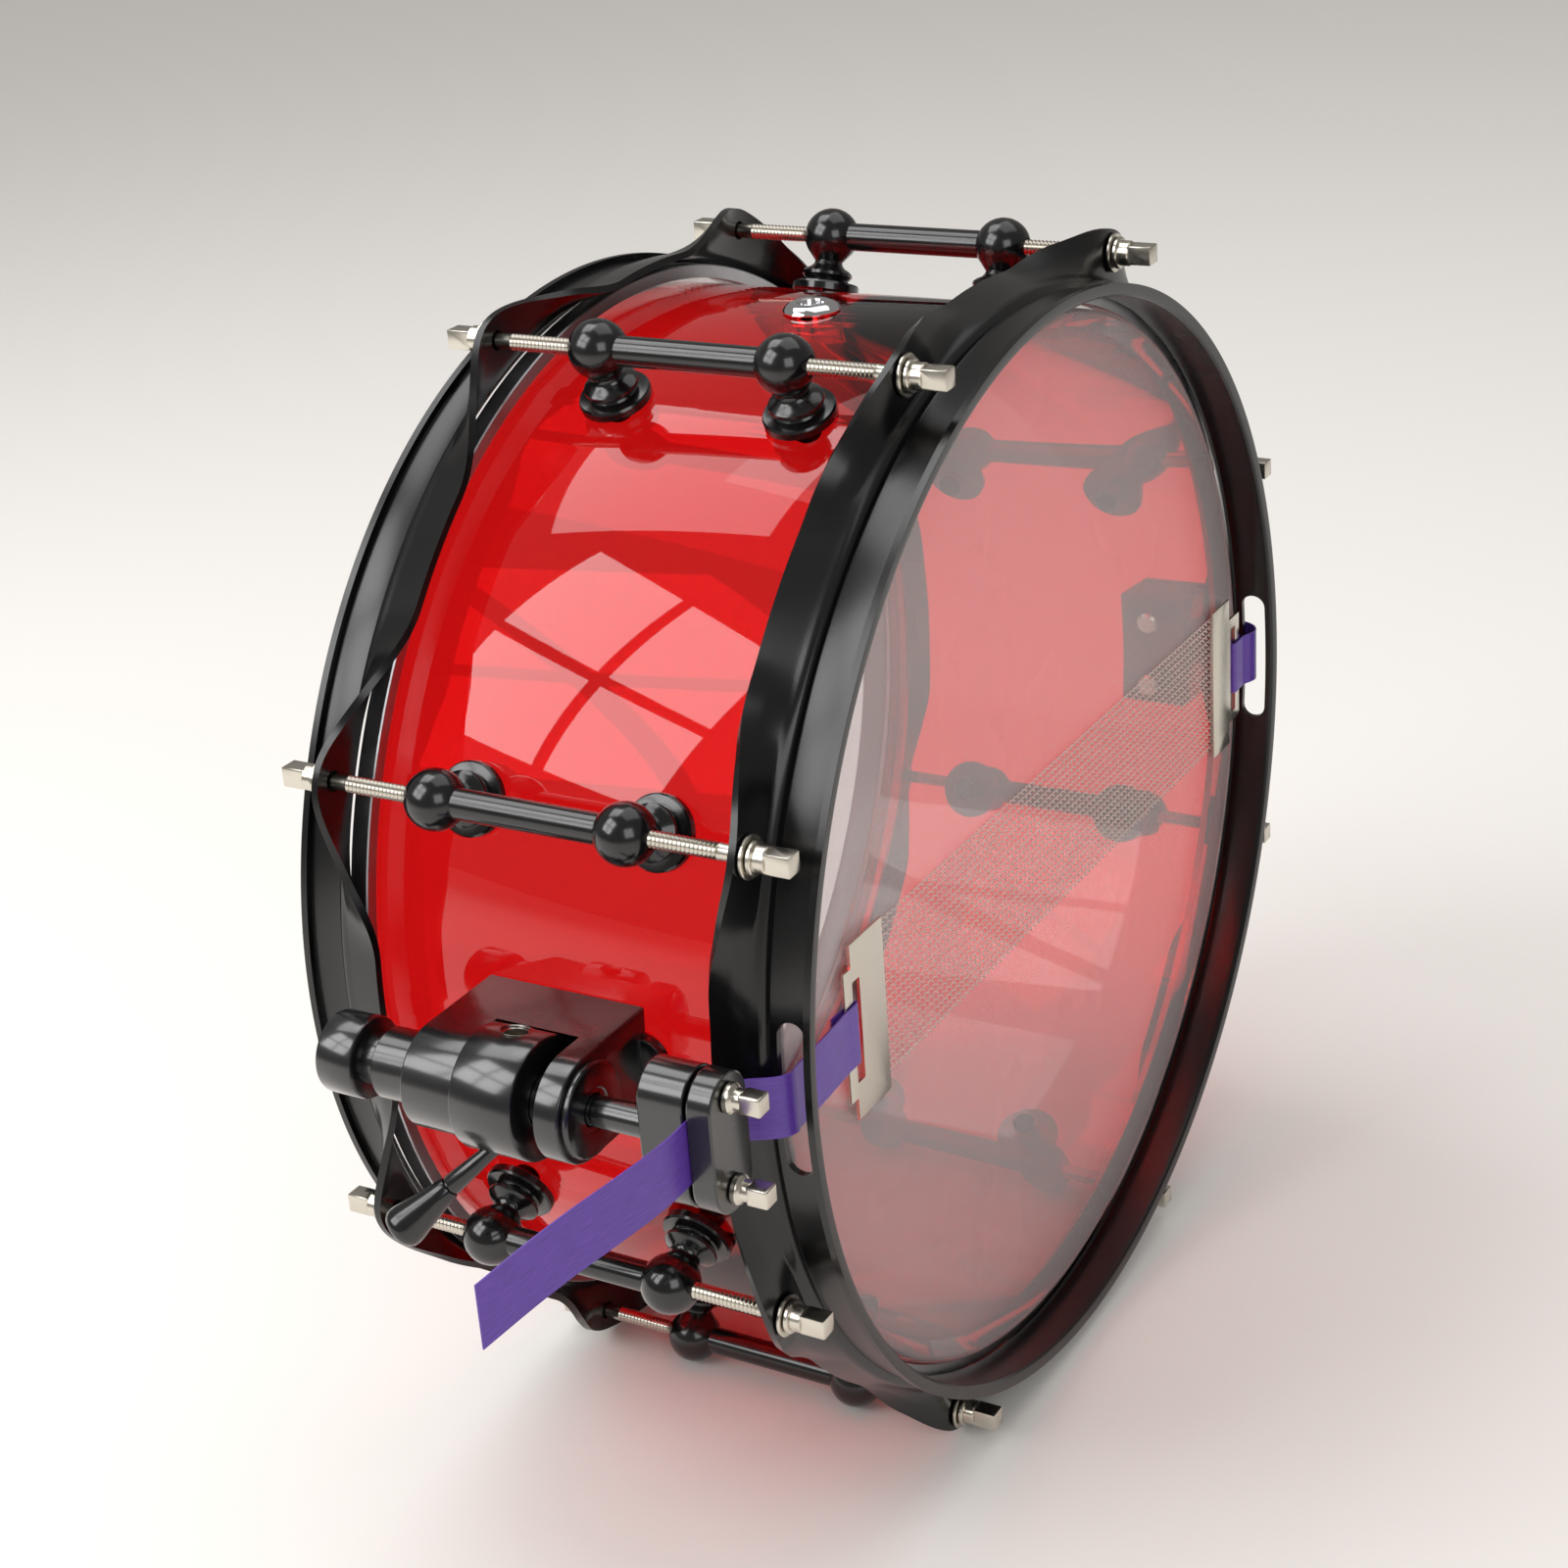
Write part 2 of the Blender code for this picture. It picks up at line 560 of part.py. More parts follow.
# The knob turns on the end of the spindle that pulls the clamp
along_y("tension_knob", [
    (0, 60.0), (11.9, 60.0), (12.7, 59.2), (12.7, 47.2), (11.9, 46.4), (8.0, 46.0), (8.0, 41.2),
    (BORE, 41.2), (BORE, 56.0), (0, 56.0)], "black_anodised")
SPINDLE_END = JAW_BACK - 7.2
JAW_X_LOW = BARREL_X - JAW_WIDTH / 2
JAW_X_HIGH = BARREL_X + JAW_WIDTH / 2
along_y("clamp_spindle", [(0, 53.0), (SPINDLE, 53.0), (SPINDLE, SPINDLE_END), (0, SPINDLE_END)],
        "black_anodised", 16)

inner_jaw = round_ended("clamp_inner_jaw", (JAW_X_LOW, -STRAP_LEVEL + STRAP / 2 + GAP, -JAW_HEIGHT / 2),
                        (JAW_X_HIGH, JAW_BACK, JAW_HEIGHT / 2), 1, 6)
outer_jaw = round_ended("clamp_outer_jaw", (JAW_X_LOW, JAW_FRONT, -JAW_HEIGHT / 2),
                        (JAW_X_HIGH, -STRAP_LEVEL - STRAP / 2 - GAP, JAW_HEIGHT / 2), 1, 6)
inner_jaw.location = (0, MIDDLE * MM, 0)
outer_jaw.location = (0, MIDDLE * MM, 0)
CLAMP_SCREW = 2.0
jaw_cuts = [rod_cutter("clamp screw hole", CLAMP_SCREW + GAP,
                       (BARREL_X, JAW_BACK - 4, side * CLAMP_SCREW_HALF),
                       (BARREL_X, JAW_FRONT - 4, side * CLAMP_SCREW_HALF), 10) for side in (1, -1)]
spindle_seat = rod_cutter("spindle seat", SPINDLE + GAP, (BARREL_X, SPINDLE_END - 0.5, 0),
                          (BARREL_X, JAW_BACK + 6, 0), 16)
for cut in jaw_cuts + [spindle_seat]:
    cut.location = (0, MIDDLE * MM, 0)
finish(combine(inner_jaw, jaw_cuts + [spindle_seat], "DIFFERENCE"), "black_anodised")
finish(combine(outer_jaw, jaw_cuts, "DIFFERENCE"), "black_anodised")
for side, which in ((1, "upper"), (-1, "lower")):
    screw = turned("clamp_screw_" + which, [
        (0, -JAW_BACK + 5.0), (CLAMP_SCREW, -JAW_BACK + 5.0), (CLAMP_SCREW, -JAW_FRONT + GAP),
        (4.6, -JAW_FRONT + GAP), (4.6, -JAW_FRONT + 2.4), (4.0, -JAW_FRONT + 3.0),
        (4.0, -JAW_FRONT + 5.6), (0, -JAW_FRONT + 5.6)], 12)
    key = box("clamp key", (-3.0, -3.0, -JAW_FRONT + 4.8), (3.0, 3.0, -JAW_FRONT + 11.9))
    finish(key, None, cutters)
    combine(screw, [key], "UNION")
    finish(on_axis(screw, -1, BARREL_X, side * CLAMP_SCREW_HALF), "nickel")
for count, height in enumerate(STRAINER_SCREWS):
    screw = shell_screw("strainer_mount_screw_%d" % (count + 1), SHELL_OUTER + 10)
    finish(at_shell(screw, 90, height), "nickel")

# The butt plate on the far side holds the other strap
butt_block = box("butt_block", (SHELL_OUTER - 6, -BUTT_HIGH, -PLATE_HALF + 7),
                 (BUTT_FACE, -BUTT_LOW, PLATE_HALF - 7), 1.0, 1)
BUTT_PLATE_INSIDE = BUTT_FACE + 2 * GAP + STRAP
butt_plate = box("butt_clamp_plate", (BUTT_PLATE_INSIDE, -BUTT_HIGH, -PLATE_HALF + 7),
                 (BUTT_PLATE_INSIDE + 4.0, -BUTT_LOW, PLATE_HALF - 7), 1.0, 1)
BUTT_SCREW_HALF = 15.0
butt_cuts = [rod_cutter("butt screw hole", CLAMP_SCREW + GAP,
                        (BUTT_FACE - 8, BUTT_MIDDLE, side * BUTT_SCREW_HALF),
                        (BUTT_FACE + 12, BUTT_MIDDLE, side * BUTT_SCREW_HALF), 10) for side in (1, -1)]
mount_cuts = []
for angle in BUTT_SCREW_ANGLES:
    start = outward(angle) * (SHELL_OUTER - 8)
    end = outward(angle) * (SHELL_OUTER + 7)
    mount_cuts.append(rod_cutter("butt mount hole", SCREW_HOLE, (start.x, BUTT_MIDDLE, start.z),
                                 (end.x, BUTT_MIDDLE, end.z), 8))
for cut in butt_cuts + mount_cuts:
    cut.location = (0, MIDDLE * MM, 0)
butt_block.location = (0, MIDDLE * MM, 0)
butt_plate.location = (0, MIDDLE * MM, 0)
face_cut = shell_face_cutter(-80, -20)
face_cut.location = (0, MIDDLE * MM, 0)
finish(combine(butt_block, butt_cuts + mount_cuts + [face_cut], "DIFFERENCE"), "black_anodised")
finish(combine(butt_plate, butt_cuts, "DIFFERENCE"), "black_anodised")
for side, which in ((1, "upper"), (-1, "lower")):
    screw = turned("butt_clamp_screw_" + which, [
        (0, BUTT_FACE - 7), (CLAMP_SCREW, BUTT_FACE - 7), (CLAMP_SCREW, BUTT_PLATE_INSIDE + 4.3),
        (4.2, BUTT_PLATE_INSIDE + 4.3), (4.2, BUTT_PLATE_INSIDE + 6.6), (0, BUTT_PLATE_INSIDE + 7.4)], 10)
    screw.data.transform(Matrix.Translation((-side * BUTT_SCREW_HALF * MM, 0, 0)))
    finish(at_shell(screw, 270, BUTT_MIDDLE), "nickel")
for count, angle in enumerate(BUTT_SCREW_ANGLES):
    screw = shell_screw("butt_mount_screw_%d" % (count + 1), SHELL_OUTER + 6)
    finish(at_shell(screw, angle, BUTT_MIDDLE), "nickel")


def end_plate(name, slot_x, wires_x, way, bar_half):
    """A snare end plate: it covers the strand ends and has a slot for the strap."""
    high = -(PLATE_LOW + PLATE_THICK)
    low = -PLATE_LOW
    main_edge = slot_x + way * (SLOT_SIDE + 0.2) if bar_half == PLATE_HALF else slot_x - way * (SLOT_SIDE + 1.0)
    xs = sorted((wires_x, main_edge + way * (BAR if bar_half == PLATE_HALF else 0)))
    made = box(name, (xs[0], high, -PLATE_HALF), (xs[1], low, PLATE_HALF))
    bar_xs = sorted((wires_x + way * 6, slot_x + way * (SLOT_SIDE + BAR)))
    bar = finish(box("strap bar", (bar_xs[0], high, -bar_half), (bar_xs[1], low, bar_half)), None, cutters)
    hole = finish(box("strap slot", (slot_x - SLOT_SIDE, high - 2, -SLOT_HALF),
                      (slot_x + SLOT_SIDE, low + 2, SLOT_HALF)), None, cutters)
    for obj in (made, bar, hole):
        obj.location = (0, MIDDLE * MM, 0)
    if bar_half != PLATE_HALF:
        combine(made, [bar], "UNION")
    return finish(combine(made, [hole], "DIFFERENCE"), "nickel")


end_plate("snare_end_plate_strainer_side", GATE_SLOT_X, WIRE_START + 5, -1, PLATE_HALF)
end_plate("snare_end_plate_butt_side", BUTT_SLOT_X, WIRE_END - 6, 1, SLOT_HALF + 4.0)

strands = []
for count in range(STRANDS):
    across = (count - (STRANDS - 1) / 2) * STRAND_PITCH
    strands.append(rod_cutter("strand", STRAND, (WIRE_START, -STRAND_HEIGHT, across),
                              (WIRE_END, -STRAND_HEIGHT, across), 5))
band_half = (STRANDS - 1) / 2 * STRAND_PITCH + STRAND
SOLDER = 0.35
for low, high in ((WIRE_START + 0.5, WIRE_START + 3.0), (WIRE_END - 3.0, WIRE_END - 0.5)):
    strands.append(finish(box("solder", (low, -STRAND_HEIGHT - SOLDER, -band_half + 0.1),
                              (high, -STRAND_HEIGHT + SOLDER, band_half - 0.1)), None, cutters))
first_strand = strands.pop(0)
cutters.objects.unlink(first_strand)
wires = bpy.data.objects.new("snare_strands", first_strand.data)
wires.location = (0, MIDDLE * MM, 0)
for strand in strands:
    strand.location = (0, MIDDLE * MM, 0)
finish(combine(wires, strands, "UNION"), "steel_wire")


def strap(name, path):
    """A ribbon along a path of (x, height, z), its width along Z."""
    work = bmesh.new()
    pairs = []
    for x, height, z in path:
        low = work.verts.new((x, height, z - STRAP_WIDTH / 2))
        high = work.verts.new((x, height, z + STRAP_WIDTH / 2))
        pairs.append((low, high))
    for (a, b), (c, d) in zip(pairs, pairs[1:]):
        work.faces.new((a, b, d, c))
    made = mesh_object(name, work)
    made.location = (0, MIDDLE * MM, 0)
    thick = made.modifiers.new("thickness", "SOLIDIFY")
    thick.thickness = STRAP * MM
    thick.offset = 0.0
    return finish(settle(made), "purple_ribbon")


OVER_BAR = PLATE_LOW + PLATE_THICK + GAP + STRAP / 2
UNDER_BAR = PLATE_LOW - GAP - STRAP / 2


def plate_end(slot_x, way, reach):
    """The strap over the plate's bar, down its slot and back under the bar."""
    middle = (OVER_BAR + UNDER_BAR) / 2
    return [
        (slot_x + way * (SLOT_SIDE + BAR + 3), -OVER_BAR, 0),
        (slot_x + way * 1.6, -OVER_BAR, 0),
        (slot_x + way * 0.7, -OVER_BAR + 0.4, 0),
        (slot_x + way * 0.4, -middle, 0),
        (slot_x + way * 0.7, -UNDER_BAR - 0.4, 0),
        (slot_x + way * 1.6, -UNDER_BAR, 0),
        (slot_x + way * reach, -UNDER_BAR, 0),
    ]


def through_gate(way):
    """The strap's way over the hoop's shoulder, through the gate and in over the head."""
    return [
        (way * (SHELL_OUTER + 12.6), -(SHELL_HALF + 0.4), 0), (way * (SHELL_OUTER + 9.8), -(SHELL_HALF + 4.5), 0),
        (way * (SHELL_OUTER + 5.6), -GATE_LEVEL, 0), (way * (SHELL_OUTER + 2.0), -(SHELL_HALF + 5.9), 0),
    ]


STRAP_TAIL = [
    (116.7, 19.5, -12.0), (100.2, 14.0, -7.6), (86.2, 9.6, -4.8), (72.0, 5.4, -3.0), (58.0, 2.0, -1.6),
    (48.5, 0.4, -0.6),
]
strap("strainer_strap", [
    (-(SHELL_OUTER + out), -(STRAP_LEVEL - lift), z) for out, lift, z in STRAP_TAIL
] + [
    (JAW_X_LOW - 3, -STRAP_LEVEL, 0), (JAW_X_HIGH + 1, -STRAP_LEVEL, 0),
    (-(SHELL_OUTER + 17.8), -(STRAP_LEVEL + 1.1), 0), (-(SHELL_OUTER + 14.9), -(STRAP_LEVEL + 3.9), 0),
] + through_gate(-1) + [
    (-(SHELL_OUTER - 14.8), -(SHELL_HALF + 5.3), 0),
] + plate_end(GATE_SLOT_X, -1, 13.0))
BUTT_STRAP_X = BUTT_FACE + GAP + STRAP / 2
strap("butt_strap", [
    (BUTT_STRAP_X, -BUTT_LOW + 2, 0), (BUTT_STRAP_X, -BUTT_HIGH - 2, 0),
    (BUTT_STRAP_X - 0.2, -(SHELL_HALF - 5.9), 0),
] + through_gate(1) + plate_end(BUTT_SLOT_X, 1, 11.0))

bpy.context.view_layer.update()
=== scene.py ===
# %% [markdown]
# # An acrylic snare drum
# This drum is a clear red tube with a film head at each end. Black steel hoops pull the heads
# down, sixteen long rods pull the hoops together, and a band of coiled wires lies against the
# lower head. Each piece is made on its own, in millimetres, at the place where it sits.

# %% Load the drum's frame
import math

import bpy
from mathutils import Matrix, Vector


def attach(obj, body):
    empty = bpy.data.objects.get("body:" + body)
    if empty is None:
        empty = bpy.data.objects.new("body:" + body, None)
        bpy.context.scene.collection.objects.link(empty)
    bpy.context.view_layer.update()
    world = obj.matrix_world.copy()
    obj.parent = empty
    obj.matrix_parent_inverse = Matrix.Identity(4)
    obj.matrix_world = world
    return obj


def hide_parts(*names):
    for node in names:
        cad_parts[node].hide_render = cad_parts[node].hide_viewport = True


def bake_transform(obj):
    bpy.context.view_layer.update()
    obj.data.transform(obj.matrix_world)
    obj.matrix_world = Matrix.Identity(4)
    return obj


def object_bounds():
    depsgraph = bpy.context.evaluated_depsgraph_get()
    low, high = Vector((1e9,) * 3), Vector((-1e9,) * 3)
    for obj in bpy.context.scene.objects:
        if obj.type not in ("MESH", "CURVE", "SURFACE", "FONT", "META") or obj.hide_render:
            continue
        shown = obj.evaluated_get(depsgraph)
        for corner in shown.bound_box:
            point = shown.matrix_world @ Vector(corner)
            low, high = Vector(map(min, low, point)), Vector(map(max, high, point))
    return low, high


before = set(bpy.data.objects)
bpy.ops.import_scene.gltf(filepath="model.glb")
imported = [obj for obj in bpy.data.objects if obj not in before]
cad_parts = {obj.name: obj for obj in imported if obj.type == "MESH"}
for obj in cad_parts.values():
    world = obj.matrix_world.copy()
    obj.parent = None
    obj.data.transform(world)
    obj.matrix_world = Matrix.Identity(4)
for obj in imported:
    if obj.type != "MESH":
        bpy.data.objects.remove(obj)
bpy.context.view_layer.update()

# %% [markdown]
# The camera stands where the photographer's did. Its place was found by matching the lug balls,
# rod heads and the rim to their places in the picture, which also gave the lens. The middle of
# the shell lies a little off the origin along Y, so that offset is named first, in metres.

# %% Camera
MM = 0.001
MIDDLE = -0.07655
EYE = (-0.7681, -0.4413 + MIDDLE, 0.4030)
LENS = 63.95
HEADING = -58.80
LOOK_DOWN = 23.90
CAMERA_ROLL = -4.33
camera_data = bpy.data.cameras.new("photo camera")
camera_data.sensor_width = 36.0
camera_data.lens = LENS
camera = bpy.data.objects.new("photo camera", camera_data)
bpy.context.scene.collection.objects.link(camera)
turn = Matrix.Rotation(math.radians(HEADING), 4, "Z")
tilt = Matrix.Rotation(math.radians(90.0 - LOOK_DOWN), 4, "X")
roll = Matrix.Rotation(math.radians(CAMERA_ROLL), 4, "Z")
camera.matrix_world = Matrix.Translation(EYE) @ turn @ tilt @ roll
bpy.context.scene.camera = camera
bpy.context.scene.view_settings.view_transform = "Standard"
print("lens", camera_data.lens)

# %% [markdown]
# Colours are picked as the eye sees them, as hex values. Blender works with linear light, so one
# function turns them. Another adds a shader node with its settings and its links in one line,
# which keeps each recipe readable from top to bottom.

# %% Colour and node helpers


def linear(hex_colour):
    """A colour as written on screen, turned to linear light."""
    channels = [int(hex_colour[start:start + 2], 16) / 255 for start in (1, 3, 5)]
    lit = [part / 12.92 if part <= 0.04045 else ((part + 0.055) / 1.055) ** 2.4 for part in channels]
    return lit + [1.0]


def node(tree, kind, inputs=None, **settings):
    """Adds a node. An input is a value, or the socket of another node to link from."""
    made = tree.nodes.new(kind)
    for name, value in settings.items():
        setattr(made, name, value)
    for socket, value in (inputs or {}).items():
        if isinstance(value, bpy.types.NodeSocket):
            tree.links.new(value, made.inputs[socket])
        else:
            made.inputs[socket].default_value = value
    return made


def new_finish(name):
    """An empty material and its node tree."""
    finish = bpy.data.materials.new(name)
    finish.use_nodes = True
    finish.node_tree.nodes.clear()
    return finish, finish.node_tree


EVEN = (1.0, 1.0, 1.0)


def stretched_noise(tree, stretch, scale, detail=3.0):
    """Noise on the piece's own coordinates, squeezed along the axes that stretch names."""
    place = node(tree, "ShaderNodeTexCoord")
    mapped = node(tree, "ShaderNodeMapping", {"Vector": place.outputs["Object"], "Scale": stretch})
    return node(tree, "ShaderNodeTexNoise", {
        "Vector": mapped.outputs["Vector"], "Scale": scale, "Detail": detail})


def spread(tree, value, low, high):
    """Noise turned into a range of values."""
    ranged = node(tree, "ShaderNodeMapRange", {
        "Value": value, "From Min": 0.3, "From Max": 0.7, "To Min": low, "To Max": high})
    return ranged.outputs["Result"]


def bumped(tree, height, distance, strength=0.3):
    """A bump from a height, in metres of relief."""
    relief = node(tree, "ShaderNodeBump", {"Height": height, "Distance": distance, "Strength": strength})
    return relief.outputs["Normal"]


print("white is", linear("#FFFFFF")[:3])

# %% [markdown]
# The shell is cast acrylic, dyed through and polished. Light that crosses the wall turns deep
# red, and a wall seen edge on glows, so it is a refracting plastic with a tint in its body and
# only faint waves from casting in its surface.

# %% Cast acrylic
cast_acrylic, tree = new_finish("cast_red_acrylic_polished")
waves = stretched_noise(tree, EVEN, 9.0, 1.0)
body = node(tree, "ShaderNodeBsdfPrincipled", {
    "Base Color": linear("#F0181A"), "Roughness": 0.02, "IOR": 1.49, "Transmission Weight": 1.0,
    "Normal": bumped(tree, waves.outputs["Fac"], 0.0004, 0.12)})
node(tree, "ShaderNodeOutputMaterial", {"Surface": body.outputs["BSDF"]})
print(cast_acrylic.name)

# %% [markdown]
# A drum head is polyester film, a quarter of a millimetre thick. It is clear with a slight haze,
# so most light goes straight through and the rest scatters: the film is thin, so it is made
# see-through and not refracting, and the haze is slightly cloudy.

# %% Clear polyester film
hazy_film, tree = new_finish("clear_polyester_film")
haze = stretched_noise(tree, EVEN, 14.0, 4.0)
film = node(tree, "ShaderNodeBsdfPrincipled", {
    "Base Color": linear("#D9CFCF"), "Roughness": spread(tree, haze.outputs["Fac"], 0.22, 0.34),
    "IOR": 1.6, "Alpha": 0.26})
node(tree, "ShaderNodeOutputMaterial", {"Surface": film.outputs["BSDF"]})
print(hazy_film.name)

# %% [markdown]
# The hoops are pressed steel with a black powder coat. Powder melts into a film with a fine
# orange peel, about a millimetre from crest to crest, which softens the reflections.

# %% Black powder coat
powder_coat, tree = new_finish("black_powder_coat_on_steel")
peel = stretched_noise(tree, EVEN, 900.0, 2.0)
patches = stretched_noise(tree, EVEN, 18.0, 3.0)
coat = node(tree, "ShaderNodeBsdfPrincipled", {
    "Base Color": linear("#080809"), "Roughness": spread(tree, patches.outputs["Fac"], 0.20, 0.28),
    "IOR": 1.5, "Normal": bumped(tree, peel.outputs["Fac"], 0.00003, 0.35)})
node(tree, "ShaderNodeOutputMaterial", {"Surface": coat.outputs["BSDF"]})

# The lugs are turned and then coated with a smoother, glossier black enamel
gloss_enamel, tree = new_finish("black_gloss_enamel_on_brass")
dust = stretched_noise(tree, EVEN, 60.0, 4.0)
enamel = node(tree, "ShaderNodeBsdfPrincipled", {
    "Base Color": linear("#0D0D0E"), "Roughness": spread(tree, dust.outputs["Fac"], 0.14, 0.24),
    "IOR": 1.52, "Coat Weight": 0.3, "Coat Roughness": 0.12})
node(tree, "ShaderNodeOutputMaterial", {"Surface": enamel.outputs["BSDF"]})
print(powder_coat.name, gloss_enamel.name)

# %% [markdown]
# The strainer is aluminium, turned or milled and then anodised black. The dyed oxide is a hard
# clear layer over dark metal, so it is a dark half-metal under a satin coat that takes broad
# highlights. The lathe leaves fine rings across the drum axis, so the noise is squeezed hard
# along Y. The real rings, 0.3 mm apart, are finer than the picture can show.

# %% Black anodised aluminium


def anodised(name, stretch):
    """Dyed aluminium with tool marks squeezed along one axis."""
    made, tree = new_finish(name)
    rings = stretched_noise(tree, stretch, 10.0, 2.0)
    mottle = stretched_noise(tree, EVEN, 45.0, 3.0)
    metal = node(tree, "ShaderNodeBsdfPrincipled", {
        "Base Color": linear("#151517"), "Metallic": 0.5,
        "Roughness": spread(tree, mottle.outputs["Fac"], 0.26, 0.36),
        "Coat Weight": 1.0, "Coat Roughness": 0.15, "Coat IOR": 1.6,
        "Normal": bumped(tree, rings.outputs["Fac"], 0.00004, 0.4)})
    node(tree, "ShaderNodeOutputMaterial", {"Surface": metal.outputs["BSDF"]})
    return made


turned_anodised = anodised("black_anodised_turned_aluminium", (1.0, 330.0, 1.0))
milled_anodised = anodised("black_anodised_milled_aluminium", (1.0, 12.0, 260.0))
print(turned_anodised.name, milled_anodised.name)

# %% [markdown]
# Rods, screws and end plates are steel with satin nickel plate, which is warmer than chrome.
# The vent grommet is bright chrome, the flesh rings are bare aluminium, and the snare wires are
# drawn steel. The screws inside the lugs are blackened, so that they don't shine through the head.

# %% Plated metals


def plated(name, colour, low, high, grain):
    """A plated metal whose roughness varies in soft patches."""
    made, tree = new_finish(name)
    patches = stretched_noise(tree, EVEN, grain, 3.0)
    metal = node(tree, "ShaderNodeBsdfPrincipled", {
        "Base Color": linear(colour), "Metallic": 1.0,
        "Roughness": spread(tree, patches.outputs["Fac"], low, high)})
    node(tree, "ShaderNodeOutputMaterial", {"Surface": metal.outputs["BSDF"]})
    return made


satin_nickel = plated("satin_nickel_plate", "#D2CCC0", 0.20, 0.28, 70.0)
bright_chrome = plated("bright_chrome_plate", "#E4E4E6", 0.05, 0.12, 60.0)
bare_aluminium = plated("rolled_aluminium", "#B9BABD", 0.30, 0.42, 90.0)
drawn_steel = plated("drawn_steel_wire", "#E2DED8", 0.36, 0.50, 300.0)
black_oxide = plated("black_oxide_on_steel", "#242426", 0.34, 0.46, 120.0)
print(satin_nickel.name, bright_chrome.name, bare_aluminium.name, drawn_steel.name, black_oxide.name)

# %% [markdown]
# The strap is satin ribbon: long floats of purple thread along its length give a soft shine that
# brightens at a glancing view. Real threads are about 0.2 mm apart. They are drawn 0.5 mm apart
# to show at all, and each float is fourteen thread widths long.

# %% Satin ribbon
satin_ribbon, tree = new_finish("purple_satin_ribbon")
THREAD = 0.0005
FLOAT_LENGTH = 14
strap_map = node(tree, "ShaderNodeUVMap", uv_map="along_strap")
floats = node(tree, "ShaderNodeMapping", {
    "Vector": strap_map.outputs["UV"], "Scale": (1 / (THREAD * FLOAT_LENGTH), 1 / THREAD, 1.0)})
threads = node(tree, "ShaderNodeTexNoise", {
    "Vector": floats.outputs["Vector"], "Scale": 1.0, "Detail": 2.0})
shade = node(tree, "ShaderNodeMix", {
    "Factor": threads.outputs["Fac"], "A": linear("#3C2272"), "B": linear("#6A42B0")}, data_type="RGBA")
ribbon = node(tree, "ShaderNodeBsdfPrincipled", {
    "Roughness": 0.32, "Sheen Weight": 0.15, "Sheen Roughness": 0.3, "Sheen Tint": linear("#A58BDA"),
    "Normal": bumped(tree, threads.outputs["Fac"], 0.00008, 0.5)})
tree.links.new(shade.outputs[2], ribbon.inputs["Base Color"])
node(tree, "ShaderNodeOutputMaterial", {"Surface": ribbon.outputs["BSDF"]})
print(satin_ribbon.name)

# %% [markdown]
# Many pieces are turned on a lathe, and the same idea works here: a circle is extruded from ring
# to ring and scaled as it goes. The profile is a list of radius and height, in millimetres,
# around the piece's own axis.

# %% Modelling helpers
SEAM = 0.000002
SHARP = math.radians(50)


def start_fresh():
    """Leaves nothing selected, so that an operator acts on the new piece alone."""
    if bpy.context.mode != "OBJECT":
        bpy.ops.object.mode_set(mode="OBJECT")
    bpy.ops.object.select_all(action="DESELECT")


def take(piece):
    """Makes a piece the only one that an operator acts on."""
    start_fresh()
    bpy.context.view_layer.objects.active = piece
    piece.select_set(True)


def enter_edit():
    """Opens the active piece in edit mode with everything selected."""
    bpy.ops.object.mode_set(mode="EDIT")
    bpy.ops.mesh.select_all(action="SELECT")


def leave_edit():
    """Goes back to object mode, which writes the mesh."""
    bpy.ops.object.mode_set(mode="OBJECT")


def face_outwards():
    """Turns every face of the active piece outwards and leaves edit mode."""
    enter_edit()
    bpy.ops.mesh.normals_make_consistent(inside=False)
    leave_edit()


def extrude_by(x, z):
    """Pulls what is selected along X and Z."""
    bpy.ops.mesh.extrude_region_move(TRANSFORM_OT_translate={"value": (x, 0, z)})


def shade_by_angle(angle=32):
    """Shades smooth across gentle bends and leaves sharper edges crisp."""
    bpy.ops.object.shade_smooth_by_angle(angle=math.radians(angle))


def lathe(name, profile, sides=48, hollow=False):
    """Pulls rings along a profile of (radius, height). A hollow profile ends where it starts."""
    start_fresh()
    radius, height = profile[0]
    bpy.ops.mesh.primitive_circle_add(vertices=sides, radius=radius * MM, location=(0, 0, 0))
    piece = bpy.context.object
    piece.name = name
    enter_edit()
    bpy.ops.transform.translate(value=(0, 0, height * MM))
    stops = profile[1:] + profile[:1] if hollow else profile[1:]
    for next_radius, next_height in stops:
        extrude_by(0, (next_height - height) * MM)
        if next_radius != radius:
            share = next_radius / radius
            bpy.ops.transform.resize(value=(share, share, 1.0), center_override=(0, 0, next_height * MM))
        radius, height = next_radius, next_height
    if hollow:
        bpy.ops.mesh.select_all(action="SELECT")
        bpy.ops.mesh.remove_doubles(threshold=SEAM)
    else:
        bpy.ops.mesh.edge_face_add()
        bpy.ops.mesh.select_all(action="DESELECT")
        bpy.ops.mesh.select_non_manifold()
        bpy.ops.mesh.edge_face_add()
    face_outwards()
    shade_by_angle()
    return piece


def broken_edges(piece, edge, steps):
    """Rounds every sharp edge of a piece by a few tenths of a millimetre."""
    take(piece)
    if edge:
        bevel = piece.modifiers.new("broken edges", "BEVEL")
        bevel.width = edge * MM
        bevel.segments = steps
        bevel.limit_method = "ANGLE"
        bevel.angle_limit = SHARP
        bpy.ops.object.modifier_apply(modifier=bevel.name)
    shade_by_angle()
    return piece


